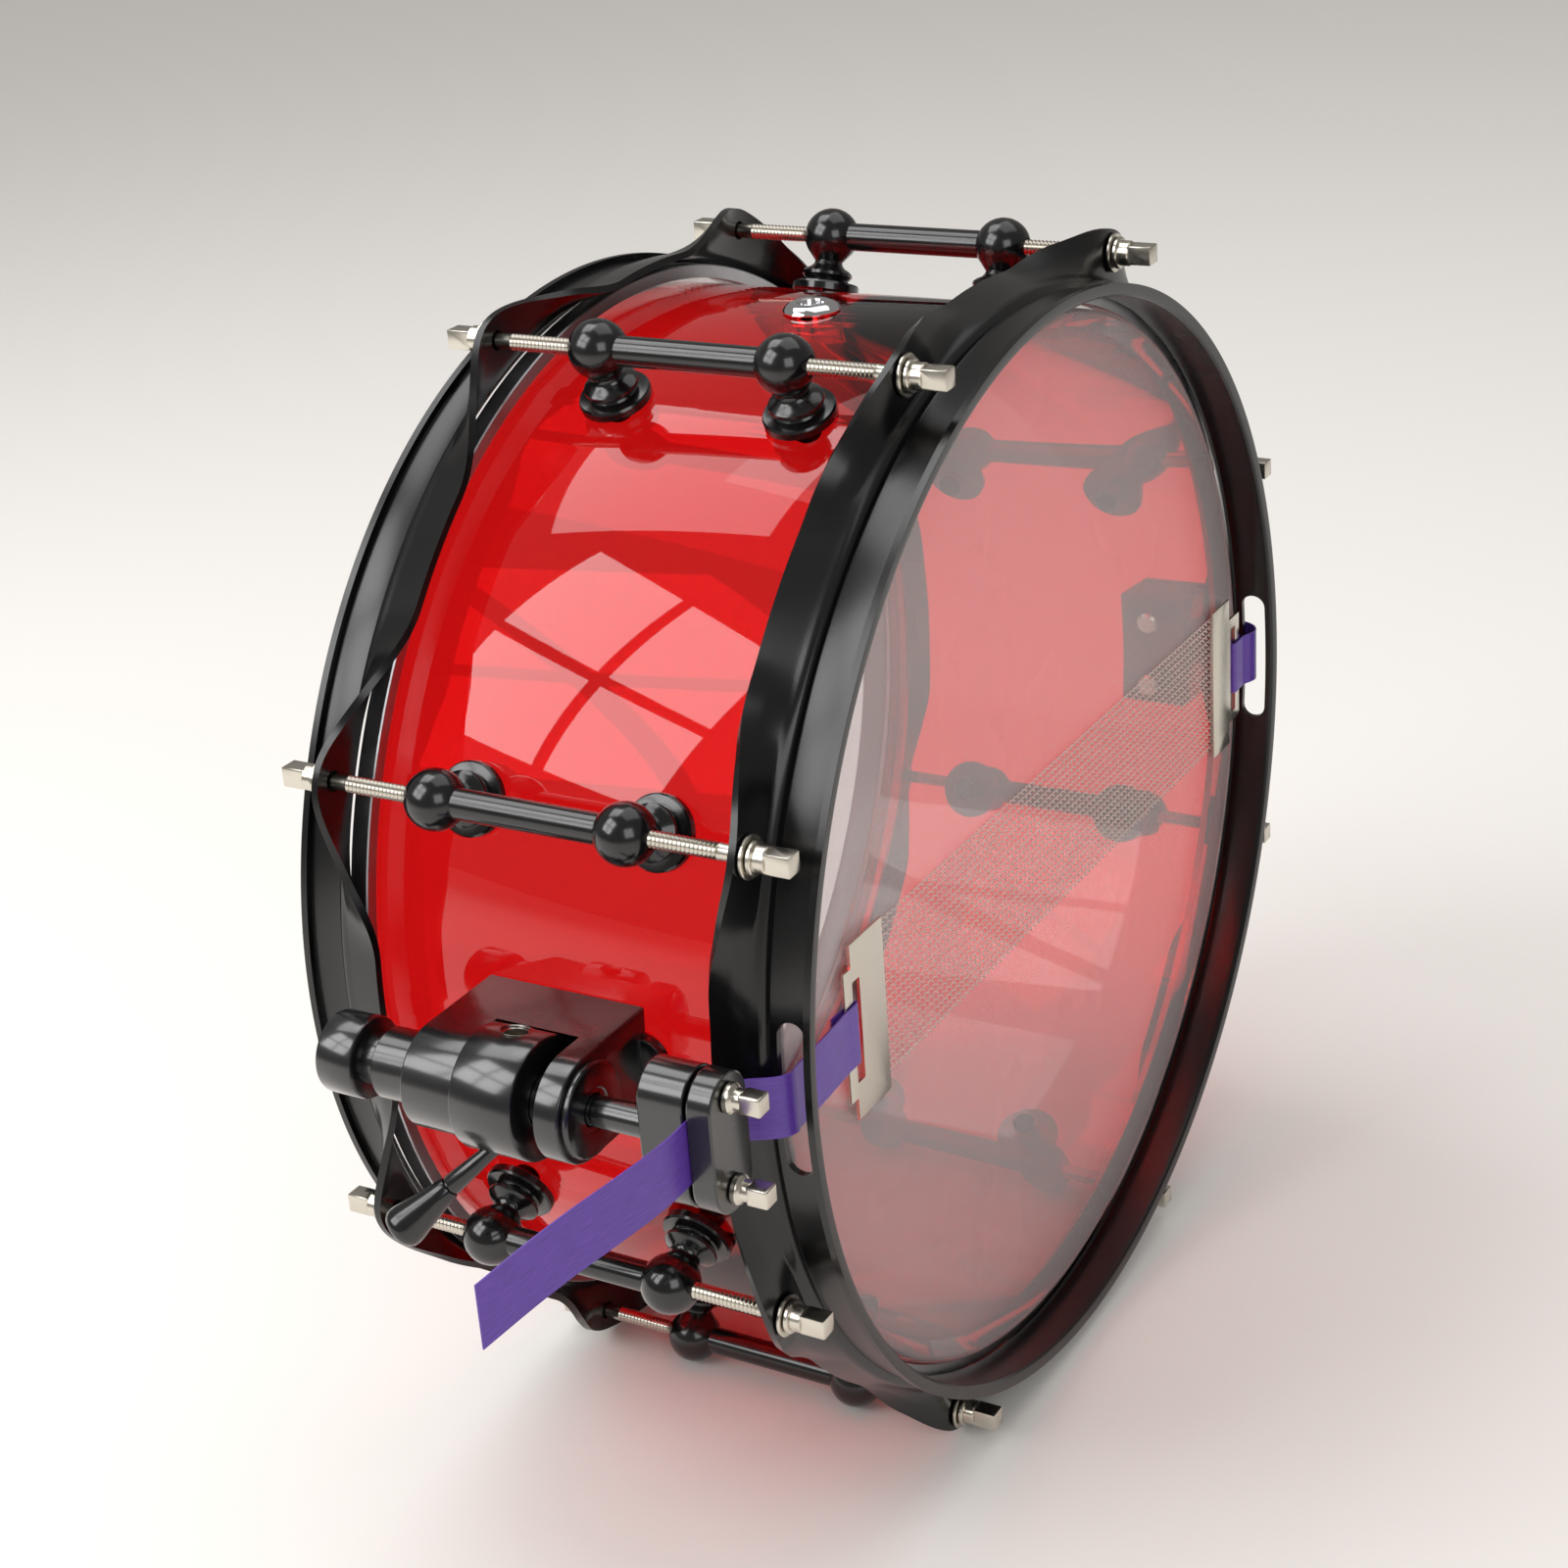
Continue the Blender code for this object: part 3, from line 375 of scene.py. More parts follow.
def milled(name, low, high, edge, steps=3):
    """A block between two corners in millimetres, its edges broken by a rounded bevel."""
    start_fresh()
    centre = [(a + b) / 2 * MM for a, b in zip(low, high)]
    bpy.ops.mesh.primitive_cube_add(size=1.0, location=centre)
    piece = bpy.context.object
    piece.name = name
    piece.scale = [(b - a) * MM for a, b in zip(low, high)]
    bpy.ops.object.transform_apply(location=True, rotation=True, scale=True)
    return broken_edges(piece, edge, steps)


def select_edges_along(piece, axis, length):
    """Selects the edges that run along one axis for at least a length."""
    for edge in piece.data.edges:
        spots = [piece.data.vertices[end].co for end in edge.vertices]
        edge.select = abs(spots[0][axis] - spots[1][axis]) > length


def round_ended(name, low, high, axis, edge):
    """A plate whose ends are half round, seen along one axis, with broken edges."""
    piece = milled(name, low, high, 0.0)
    sides = [b - a for a, b in zip(low, high)]
    long_side = sides.pop(axis)
    bpy.ops.object.mode_set(mode="EDIT")
    bpy.ops.mesh.select_mode(type="EDGE")
    bpy.ops.mesh.select_all(action="DESELECT")
    leave_edit()
    select_edges_along(piece, axis, long_side * 0.5 * MM)
    bpy.ops.object.mode_set(mode="EDIT")
    bpy.ops.mesh.bevel(offset=min(sides) * 0.495 * MM, segments=14, affect="EDGES")
    bpy.ops.mesh.select_mode(type="VERT")
    leave_edit()
    return broken_edges(piece, edge, 2)


def bar_between(start, end, radius, sides=32):
    """A round bar between two points in millimetres."""
    start_fresh()
    way = Vector(end) - Vector(start)
    middle = (Vector(start) + Vector(end)) / 2 * MM
    bpy.ops.mesh.primitive_cylinder_add(vertices=sides, radius=radius * MM, depth=way.length * MM,
                                        location=middle, rotation=way.to_track_quat("Z", "Y").to_euler())
    bpy.ops.object.transform_apply(location=True, rotation=True, scale=True)
    return bpy.context.object


def joined(pieces):
    """Joins several objects into the first one."""
    start_fresh()
    for piece in pieces:
        piece.select_set(True)
    bpy.context.view_layer.objects.active = pieces[0]
    bpy.ops.object.join()
    return pieces[0]


def carve(piece, tools, operation="DIFFERENCE"):
    """Cuts the tools out of a piece, or welds them to it, and clears them away."""
    for tool in tools:
        start_fresh()
        bpy.context.view_layer.objects.active = piece
        step = piece.modifiers.new("carve", "BOOLEAN")
        step.operation = operation
        step.solver = "EXACT"
        step.object = tool
        bpy.ops.object.modifier_apply(modifier=step.name)
        bpy.data.objects.remove(tool)
    take(piece)
    shade_by_angle()
    return piece


def own_copy(piece, name):
    """A copy with its own mesh."""
    made = bpy.data.objects.new(name, piece.data.copy())
    bpy.context.scene.collection.objects.link(made)
    return made


def move(piece, matrix):
    """Moves the mesh itself, so that the object stays at the origin."""
    piece.data.transform(matrix)
    piece.data.update()
    return piece


def clear_away(*patterns):
    """Removes patterns that were only copied."""
    for pattern in patterns:
        bpy.data.objects.remove(pattern)


def dress(piece, finish, body, *nodes):
    """Gives a piece its finish and the body that carries it, and hides the solids it stands for."""
    piece.data.materials.clear()
    piece.data.materials.append(finish)
    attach(piece, body)
    if nodes:
        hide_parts(*nodes)
    return piece


print("helpers ready")

# %% [markdown]
# Everything round is placed on one of two kinds of axis: along the drum, or straight out of the
# shell. An angle is counted from the top towards the strainer, and a height from the middle of
# the drum towards the batter head. The strainer's screws are given by their heights, and the
# butt plate's screws by their angles.

# %% Places on the drum
SHELL_OUTER = 176.8
SHELL_INNER = 170.8
SHELL_HALF = 75.9
ROD_CIRCLE = 197.0
BALL_HEIGHT = 33.0
EAR_TOP = 73.0
LUG_STEP = 45.0
HALF_STEP = LUG_STEP / 2
LUG_ANGLES = [-HALF_STEP + LUG_STEP * count for count in range(8)]
SCREW_HOLE = 2.4
VENT_HOLE = 6.3
STRAINER_SCREWS = (17.0, -25.0)
BUTT_SCREWS = (265.6, 274.4)
BUTT_LEVEL = -43.5
TO_MIDDLE = Matrix.Translation((0, MIDDLE, 0))


def outward(angle):
    """The direction out of the shell at an angle."""
    return Vector((-math.sin(math.radians(angle)), 0, math.cos(math.radians(angle))))


def along_drum(side=1, x=0.0, z=0.0):
    """Stands local Z along the drum axis, towards the batter (1) or the snare side (-1)."""
    return Matrix.Translation((x * MM, MIDDLE, z * MM)) @ Matrix.Rotation(-side * math.pi / 2, 4, "X")


def out_of_shell(angle, height=0.0):
    """Stands local Z straight out of the shell."""
    return Matrix.Translation((0, MIDDLE + height * MM, 0)) @ Matrix.Rotation(-math.radians(angle), 4, "Y")


def standing(spot, way):
    """Stands local Z along a direction at a spot in millimetres."""
    return Matrix.Translation(spot * MM) @ way.to_track_quat("Z", "Y").to_matrix().to_4x4()


def above(level, profile):
    """A profile with its heights counted from a level."""
    return [(radius, level + rise) for radius, rise in profile]


def drill_out(angle, height, radius, sides):
    """A drill straight through the shell wall."""
    way = outward(angle)
    level = Vector((0, height, 0))
    return bar_between(way * (SHELL_INNER - 4) + level, way * (SHELL_OUTER + 4) + level, radius, sides)


print("lug angles:", LUG_ANGLES)

# %% [markdown]
# The shell is a tube with a wall of 6 mm. Each end is cut to a 45 degree bearing edge, which the
# head rests on, and the snare side has a shallow bed where the wires cross it. It is turned as
# one closed ring and then drilled.

# %% Shell
PEAK = SHELL_OUTER - 1.5
slope = SHELL_HALF - (PEAK - SHELL_INNER)
ring_profile = [(SHELL_OUTER, 74.2), (SHELL_OUTER - 0.5, 75.2), (PEAK, SHELL_HALF), (SHELL_INNER, slope)]
whole_profile = ring_profile + [(radius, -height) for radius, height in reversed(ring_profile)]
shell = move(lathe("shell_tube", whole_profile, 240, hollow=True), along_drum())
drills = []
for angle in LUG_ANGLES:
    for height in (BALL_HEIGHT, -BALL_HEIGHT):
        drills.append(drill_out(angle, height, SCREW_HOLE, 16))
drills.append(drill_out(0, 0, VENT_HOLE, 32))
for height in STRAINER_SCREWS:
    drills.append(bar_between((-SHELL_INNER + 6, height, 0), (-SHELL_OUTER - 4, height, 0), SCREW_HOLE, 16))
for angle in BUTT_SCREWS:
    drills.append(drill_out(angle, BUTT_LEVEL, SCREW_HOLE, 16))
for side in (-1, 1):
    drills.append(milled("snare bed", (side * SHELL_OUTER - 12, -SHELL_HALF - 4, -35),
                         (side * SHELL_OUTER + 12, -SHELL_HALF + 1.2, 35), 0.8, 1))
tools = move(joined(drills), TO_MIDDLE)
shell = carve(shell, [tools])
dress(shell, cast_acrylic, "drum", "shell")
print("shell:", len(shell.data.polygons), "faces")

# %% [markdown]
# Each head is a disc of film that turns down over the edge and is held in a groove of its metal
# flesh ring. Film and ring are both turned, the film as one thin closed profile. It is a tenth
# of a millimetre thicker than real film, as the CAD's is.

# %% Heads and flesh rings
FILM_OUT = 76.55
FILM_IN = 76.2
film_profile = [
    (0.5, FILM_OUT), (60.0, FILM_OUT), (130.0, FILM_OUT), (175.6, FILM_OUT), (176.6, 76.2), (177.4, 75.5),
    (177.9, 74.6), (178.05, 73.0), (178.1, 69.85), (181.2, 69.85), (181.2, 69.5), (177.75, 69.5),
    (177.7, 73.0), (177.55, 74.5), (177.1, 75.3), (176.4, 75.9), (175.5, FILM_IN), (130.0, FILM_IN),
    (60.0, FILM_IN), (0.5, FILM_IN),
]
flesh_profile = [
    (178.5, 66.5), (182.6, 66.5), (183.0, 66.9), (183.0, 72.6), (182.6, 73.0), (178.5, 73.0),
    (178.5, 70.2), (181.5, 70.2), (181.5, 69.2), (178.5, 69.2),
]
for side, which in ((1, "batter"), (-1, "snare")):
    film = move(lathe(which + "_film", film_profile, 192), along_drum(side))
    dress(film, hazy_film, "drum", which + "_head")
    ring = move(lathe(which + "_flesh_ring", flesh_profile, 160, hollow=True), along_drum(side))
    dress(ring, bare_aluminium, "drum", which + "_head_ring")
print("heads and rings on both sides")

# %% [markdown]
# A flanged hoop is rolled from one strip: a lip at the top, an upright rim, a shoulder that sits
# on the flesh ring, and a skirt. At each rod the skirt swings out into a flat ear. A tall sleeve
# of rings is made first, one ring for each line along the strip, and then every point is put on
# the section for its angle. Solidify gives the metal its thickness. Sizes are in millimetres,
# and the lean and the spans in degrees, a span counted from the middle of an ear.

# %% Hoop section
METAL = 2.3
LIP = 185.8
RIM = 182.4
RIM_TOP = 88.8
RIM_FOOT = 75.0
CORNER = Vector((185.15, 74.15))
KNEE_OUT = 2.0
KNEE_DOWN = 3.2
SKIRT = 12.0
SKIRT_LEAN = 12.0
EAR_REACH = 17.3
EAR_SPAN = 8.5
FLAT_SPAN = 0.4
SWING_SPAN = 16.5


def eased(share):
    """A smooth step from 0 to 1."""
    share = min(max(share, 0.0), 1.0)
    return share * share * (3.0 - 2.0 * share)


def swing_at(offset):
    """How far the skirt has swung out: 1 at an ear, 0 between the ears."""
    return 1.0 - eased((offset - FLAT_SPAN) / SWING_SPAN)


def hoop_line(offset):
    """The middle line of the metal at an angle from the nearest ear, as (radius, height)."""
    swing = swing_at(offset)
    length = SKIRT + (EAR_REACH - SKIRT) * (1.0 - eased(offset / EAR_SPAN))
    tilt = math.radians(SKIRT_LEAN + (90.0 - SKIRT_LEAN) * swing)
    lift = EAR_TOP - METAL / 2 - CORNER.y + KNEE_DOWN
    knee = Vector((CORNER.x + KNEE_OUT * math.sin(tilt), CORNER.y - KNEE_DOWN + lift * swing))
    down = Vector((math.sin(tilt), -math.cos(tilt)))
    return [Vector((LIP, RIM_TOP)), Vector((RIM, RIM_TOP)), Vector((RIM, RIM_FOOT)), CORNER, knee,
            knee + down * length * 0.5, knee + down * length]


def rounded(line, bend=1.3):
    """The same line with each corner turned into a small curve of four points."""
    points = [line[0]]
    for before, here, after in zip(line, line[1:], line[2:]):
        reach = min(bend, (before - here).length * 0.45, (after - here).length * 0.45)
        first = here + (before - here).normalized() * reach
        last = here + (after - here).normalized() * reach
        inner_first = first.lerp(here, 0.55)
        inner_last = last.lerp(here, 0.55)
        points += [first, inner_first.lerp(inner_last, 0.33), inner_first.lerp(inner_last, 0.67), last]
    return points + [line[-1]]


print("points across the strip:", len(rounded(hoop_line(0.0))))

# %% Roll the hoops
HOOP_SIDES = 640
SLEEVE = 0.18
ROD_HOLE = 3.3
GATE_LEVEL = 82.45
GATE_TALL = 4.5
GATE_WIDE = 25.0


def roll_hoop(name, side, gates, node_name):
    """One hoop: a sleeve of rings shaped by angle, thickened, and drilled."""
    rows = len(rounded(hoop_line(0.0)))
    start_fresh()
    bpy.ops.mesh.primitive_circle_add(vertices=HOOP_SIDES, radius=SLEEVE)
    hoop = bpy.context.object
    hoop.name = name
    enter_edit()
    for row in range(rows - 1):
        extrude_by(0, MM)
    leave_edit()
    lines = {}
    for vertex in hoop.data.vertices:
        row = round(vertex.co.z / MM)
        angle = math.degrees(math.atan2(-vertex.co.x, vertex.co.y))
        offset = round(abs(angle % LUG_STEP - HALF_STEP), 4)
        if offset not in lines:
            lines[offset] = rounded(hoop_line(offset))
        spot = lines[offset][row]
        way = outward(angle)
        vertex.co = Vector((way.x * spot.x, side * spot.y, way.z * spot.x)) * MM + Vector((0, MIDDLE, 0))
    face_outwards()
    metal = hoop.modifiers.new("metal", "SOLIDIFY")
    metal.thickness = METAL * MM
    metal.offset = 0.0
    metal.use_even_offset = True
    bpy.ops.object.modifier_apply(modifier=metal.name)
    drills = []
    for angle in LUG_ANGLES:
        spot = outward(angle) * ROD_CIRCLE
        low = (spot.x, side * (EAR_TOP - 8), spot.z)
        high = (spot.x, side * (EAR_TOP + 5), spot.z)
        drills.append(bar_between(low, high, ROD_HOLE, 24))
    for direction in gates:
        near, far = sorted((direction * 174, direction * 191))
        low = (near, side * GATE_LEVEL - GATE_TALL, -GATE_WIDE)
        high = (far, side * GATE_LEVEL + GATE_TALL, GATE_WIDE)
        drills.append(round_ended("gate", low, high, 0, 0.0))
    hoop = carve(hoop, [move(joined(drills), TO_MIDDLE)])
    broken_edges(hoop, 0.35, 2)
    dress(hoop, powder_coat, "drum", node_name)
    return len(hoop.data.polygons)


print("batter hoop faces:", roll_hoop("batter_hoop_rolled", 1, (), "batter_hoop"))
print("snare hoop faces:", roll_hoop("snare_hoop_rolled", -1, (-1, 1), "snare_hoop"))

# %% [markdown]
# Each lug is two turned posts that end in a ball, with a plain tube between the balls. The rods
# screw into the balls from outside. A lug is made once at the top of the drum and copied round.

# %% Lugs
BALL = 9.5
BALL_START = -58
BALL_STEP = 11.2
BORE = 3.1
FOOT = [(10.8, 0.3), (11.6, 0.8), (11.6, 3.0), (11.1, 3.7), (9.4, 3.9), (8.0, 4.3), (7.5, 4.9),
        (8.1, 5.4), (8.8, 6.3), (8.7, 7.3), (7.6, 8.3), (6.0, 9.1), (5.0, 10.2), (4.8, 11.2)]
SCREW_HEAD = above(SHELL_INNER, [(2.0, -0.6), (4.2, -0.6), (4.2, -2.4), (3.4, -3.2)])


def at_both_balls(pattern):
    """Puts a pattern at one ball of a lug and joins a copy of it at the other ball."""
    move(pattern, Matrix.Translation((0, BALL_HEIGHT * MM, 0)))
    other = move(own_copy(pattern, "other"), Matrix.Translation((0, -2 * BALL_HEIGHT * MM, 0)))
    return joined([pattern, other])


post_profile = above(SHELL_OUTER, FOOT)
for step in range(1, 14):
    lean = math.radians(BALL_START + step * BALL_STEP)
    post_profile.append((BALL * math.cos(lean), ROD_CIRCLE + BALL * math.sin(lean)))
pair = at_both_balls(lathe("post", post_profile, 40))
bores = []
for side in (1, -1):
    start = (0, side * (BALL_HEIGHT + 14), ROD_CIRCLE)
    end = (0, side * (BALL_HEIGHT - 14), ROD_CIRCLE)
    bores.append(bar_between(start, end, BORE, 24))
pair = carve(pair, [joined(bores)])
tube = lathe("tube", [(4.75, 27.0), (4.75, -27.0), (3.2, -27.0), (3.2, 27.0)], 32, hollow=True)
move(tube, Matrix.Translation((0, 0, ROD_CIRCLE * MM)) @ Matrix.Rotation(math.pi / 2, 4, "X"))
screws = at_both_balls(lathe("screw", [(2.0, SHELL_OUTER + 0.1)] + SCREW_HEAD, 24))
for number, angle in enumerate(LUG_ANGLES, 1):
    place = out_of_shell(angle)
    posts = move(own_copy(pair, "lug_posts_%d" % number), place)
    dress(posts, gloss_enamel, "drum", "lug_%d" % number)
    dress(move(own_copy(tube, "lug_tube_%d" % number), place), gloss_enamel, "drum")
    dress(move(own_copy(screws, "lug_screws_%d" % number), place), black_oxide, "drum")
clear_away(pair, tube, screws)
print("lugs:", len(LUG_ANGLES))

# %% [markdown]
# A tension rod is a long screw with a square head for a drum key. Its thread is what catches the
# light between ball and ear, so the ridges are turned for real, 1.4 mm apart, a little coarser
# than the true thread so that they show.

# %% Tension rods
SEAT = EAR_TOP + 0.3
THREAD_PITCH = 1.4
THREAD_END = 64.0
rod_profile = [(1.6, 20.0), (2.4, 21.2)]
level = 21.6
while level < THREAD_END:
    rod_profile += [(2.2, level), (2.7, level + THREAD_PITCH * 0.5)]
    level += THREAD_PITCH
rod_profile += [(2.5, 65.0)] + above(SEAT, [
    (2.5, 1.5), (5.0, 1.5), (5.3, 1.8), (5.3, 2.6), (4.9, 3.0), (4.2, 3.1), (4.2, 6.2), (3.9, 6.6)])
rod = lathe("rod", rod_profile, 20)
key = milled("key", (-3.2, -3.2, SEAT + 6.0), (3.2, 3.2, 87.8), 0.5, 2)
rod = carve(rod, [key], "UNION")
washer = lathe("washer", above(SEAT, [
    (3.0, 0.0), (6.3, 0.0), (6.6, 0.3), (6.6, 0.9), (6.3, 1.2), (3.0, 1.2)]), 32, hollow=True)
for side, which in ((1, "batter"), (-1, "snare")):
    for number, angle in enumerate(LUG_ANGLES, 1):
        spot = outward(angle) * ROD_CIRCLE
        name = "%s_tension_rod_%d" % (which, number)
        place = along_drum(side, spot.x, spot.z)
        dress(move(own_copy(rod, name + "_threaded"), place), satin_nickel, name + "_body", name)
        dress(move(own_copy(washer, name + "_washer"), place), satin_nickel, name + "_body")
clear_away(rod, washer)
print("rods:", 2 * len(LUG_ANGLES))

# %% [markdown]
# A vent lets the air out when the head is struck. Its grommet has a rolled rim outside and a
# thread inside the shell, where a round nut holds it.

# %% Air vent
ROLLED = [(4.1, 2.2), (4.5, 2.9), (5.2, 3.2), (6.6, 3.1), (8.0, 2.4), (9.0, 1.5), (9.45, 0.7), (9.4, 0.3),
          (6.0, 0.3)]
THREAD_FOOT = SHELL_INNER - 4.4
grommet_profile = [(4.1, THREAD_FOOT)] + above(SHELL_OUTER, ROLLED) + [(6.0, THREAD_FOOT)]
grommet = lathe("vent_grommet_rolled", grommet_profile, 48, hollow=True)
dress(move(grommet, out_of_shell(0)), bright_chrome, "drum", "vent_grommet")
vent_nut = lathe("vent_nut_round", above(SHELL_INNER, [
    (6.3, -3.6), (6.3, -0.6), (8.7, -0.6), (9.0, -0.9), (9.0, -3.3), (8.7, -3.6)]), 40, hollow=True)
dress(move(vent_nut, out_of_shell(0)), bright_chrome, "drum", "vent_nut")
print("vent fitted")

# %% [markdown]
# The strainer's block is milled from bar. Its back follows the shell, a foot reaches out on the
# snare side, and its nose is round about the barrel. The lever's collar turns in a pocket cut
# across the nose, which shows as a step in the block's flat top.

# %% Strainer block
BARREL_X = -209.0
NOSE = 16.4
BLOCK_BACK = 25.5
BLOCK_FRONT = -29.5
BACK_FIT = SHELL_OUTER + 0.55
start_fresh()
bpy.ops.mesh.primitive_cylinder_add(
    vertices=96, radius=NOSE * MM, depth=(BLOCK_BACK - BLOCK_FRONT) * MM, rotation=(math.pi / 2, 0, 0),
    location=(BARREL_X * MM, (BLOCK_BACK + BLOCK_FRONT) / 2 * MM, 0))
bpy.ops.object.transform_apply(location=True, rotation=True, scale=True)
block = bpy.context.object
block.name = "strainer_block_milled"
enter_edit()
bpy.ops.mesh.bisect(
    plane_co=((BARREL_X + 0.01) * MM, 0, 0), plane_no=(1, 0, 0), clear_outer=True, use_fill=True)
extrude_by((-SHELL_OUTER + 6 - BARREL_X) * MM, 0)
face_outwards()
broken_edges(block, 0.7, 3)
foot = bar_between((-SHELL_OUTER - 4.2, BLOCK_FRONT, 0), (-SHELL_OUTER + 6, BLOCK_FRONT, 0), 8.0, 48)
block = carve(block, [broken_edges(foot, 0.5, 2)], "UNION")
cuts = [
    bar_between((BARREL_X, -50, 0), (BARREL_X, 50, 0), 9.3, 64),
    bar_between((BARREL_X, -21.5, 0), (BARREL_X, 7.4, 0), 19.3, 96),
    bar_between((0, -60, 0), (0, 60, 0), BACK_FIT, 256),
]
for height in STRAINER_SCREWS:
    cuts.append(bar_between((-SHELL_OUTER + 4, height, 0), (-SHELL_OUTER - 11, height, 0), SCREW_HOLE, 16))
block = carve(block, cuts)
dress(move(block, TO_MIDDLE), milled_anodised, "drum", "strainer_block")
print("block:", len(block.data.polygons), "faces")

# %% [markdown]
# The barrel, its end cap, the collar, the knob and the spindle are all turned parts on one axis.
# Their edges are broken with small chamfers, and grooves separate the steps.

# %% Barrel, cap, collar, knob and spindle
AXIS = along_drum(1, BARREL_X, 0)
COLLAR = 18.8
barrel = lathe("strainer_barrel_turned", [
    (5.1, 40.6), (10.3, 40.6), (10.9, 40.0), (10.9, 26.2), (10.5, 25.8), (9.0, 25.8), (9.0, -15.0),
    (5.1, -15.0)], 72, hollow=True)
dress(move(barrel, AXIS), turned_anodised, "drum", "strainer_barrel")
cap = lathe("strainer_end_cap_turned", [
    (5.1, -15.3), (9.0, -15.3), (9.0, -29.8), (14.6, -29.8), (14.6, -31.0), (14.2, -31.5), (13.8, -31.7),
    (7.0, -31.7), (6.6, -31.3), (5.1, -31.3)], 72, hollow=True)
dress(move(cap, AXIS), turned_anodised, "drum", "strainer_end_cap")
collar = lathe("lever_collar_turned", [
    (9.3, 6.7), (18.0, 6.7), (18.6, 6.4), (COLLAR, 5.9), (COLLAR, -14.2), (18.6, -14.7), (18.0, -15.0),
    (9.3, -15.0)], 96, hollow=True)
knob = lathe("tension_knob_turned", [
    (5.1, 41.2), (7.8, 41.2), (8.0, 41.5), (8.0, 46.2), (11.6, 46.4), (12.4, 46.8), (12.7, 47.5),
    (12.7, 58.6), (12.4, 59.4), (11.6, 59.9), (4.0, 60.0), (4.0, 56.0), (5.1, 56.0)], 64, hollow=True)
button = lathe("tension_knob_end", [(3.9, 56.2), (3.9, 59.6), (3.4, 59.9)], 40)
dress(move(knob, AXIS), turned_anodised, "knob", "tension_knob")
dress(move(button, AXIS), turned_anodised, "knob")
spindle = lathe("clamp_spindle_turned", [(4.2, 53.0), (4.7, 52.5), (4.7, -59.7), (4.2, -60.2)], 40)
dress(move(spindle, AXIS), turned_anodised, "clamp", "clamp_spindle")
print("turned parts on the barrel axis")

# %% [markdown]
# The throw-off lever screws into the collar and leans towards the knob. A plain rod ends in a
# drop-shaped grip, with a fine groove where the two meet. A second threaded hole in the
# collar's top takes the lever when it is wanted on the other side.

# %% Throw-off lever
LEAN = math.radians(40.0)
DOWN = math.radians(55.0)
SPARE_LEAN = math.radians(12.0)
SPARE_LEVEL = -4.15
way_out = Vector((-math.cos(DOWN), 0, -math.sin(DOWN)))
lever_way = (way_out * math.cos(LEAN) + Vector((0, math.sin(LEAN), 0))).normalized()
lever_foot = Vector((0, -16.0, 0)) + lever_way * (COLLAR - 6.5) / math.cos(LEAN)
hole_start = lever_foot - lever_way * 0.5 + Vector((BARREL_X, 0, 0))
move(collar, Matrix.Translation((BARREL_X * MM, 0, 0)) @ Matrix.Rotation(-math.pi / 2, 4, "X"))
spare_way = Vector((math.sin(SPARE_LEAN), 0, math.cos(SPARE_LEAN)))
spare_place = standing(Vector((BARREL_X, SPARE_LEVEL, 0)) + spare_way * (COLLAR - 6.3), spare_way)
thread_ridges = [(3.6 + 0.35 * (step % 2), 0.8 + 0.4 * step) for step in range(12)]
spare_profile = [(3.7, 0.0), (3.9, 0.4)] + thread_ridges + [(3.9, 5.6), (5.0, 6.3), (5.0, 9.0)]
spare_hole = move(lathe("spare hole", spare_profile, 40), spare_place)
collar = carve(collar, [bar_between(hole_start, hole_start + lever_way * 22, 2.7, 32), spare_hole])
dress(move(collar, TO_MIDDLE), turned_anodised, "lever", "lever_collar")
insert = lathe("spare_hole_thread_insert", [
    (3.6, 0.6), (3.6, 5.4), (4.9, 6.15), (4.9, 6.0), (3.8, 5.2), (3.8, 0.6)], 40, hollow=True)
dress(move(move(insert, spare_place), TO_MIDDLE), satin_nickel, "lever")
lever = lathe("throw_off_lever_turned", [
    (2.0, 0.0), (2.4, 0.4), (2.4, 10.5), (2.6, 13.0), (3.2, 23.6), (3.1, 23.9), (2.6, 24.1), (2.6, 24.5),
    (3.2, 24.7), (3.5, 25.2), (4.1, 29.0), (4.9, 33.5), (5.7, 38.0), (6.3, 41.0), (6.55, 43.0),
    (6.4, 44.4), (5.7, 45.5), (4.4, 46.2), (2.6, 46.6)], 48)
move(lever, standing(lever_foot, lever_way))
dress(move(lever, Matrix.Translation((BARREL_X * MM, MIDDLE, 0))), gloss_enamel, "lever", "throw_off_lever")
print("lever points to", [round(part, 2) for part in lever_way])

# %% [markdown]
# Two jaws with round ends grip the strap. The spindle pulls the inner one, and two
# square-headed screws press the outer one on to the ribbon.

# %% Strap clamp
JAW_LOW = BARREL_X - 10.0
JAW_HIGH = BARREL_X + 10.0
JAW_SCREW_HEIGHT = 14.7
for name, low, high in (("clamp_inner_jaw", -67.95, -53.0), ("clamp_outer_jaw", -77.0, -69.05)):
    jaw = round_ended(name + "_milled", (JAW_LOW, low, -22.0), (JAW_HIGH, high, 22.0), 1, 0.6)
    levels = (JAW_SCREW_HEIGHT, -JAW_SCREW_HEIGHT)
    holes = [bar_between((BARREL_X, -49, z), (BARREL_X, -82, z), 2.3, 24) for z in levels]
    if name == "clamp_inner_jaw":
        holes.append(bar_between((BARREL_X, -60.7, 0), (BARREL_X, -47.0, 0), 5.0, 32))
    jaw = carve(jaw, [joined(holes)])
    dress(move(jaw, TO_MIDDLE), turned_anodised, "clamp", name)
screw = lathe("clamp screw", [
    (1.6, 58.0), (2.0, 58.4), (2.0, 77.3), (4.4, 77.3), (4.6, 77.6), (4.6, 79.0), (4.2, 79.5), (3.4, 80.0),
    (3.2, 80.6), (3.2, 82.0), (3.0, 82.4)], 32)
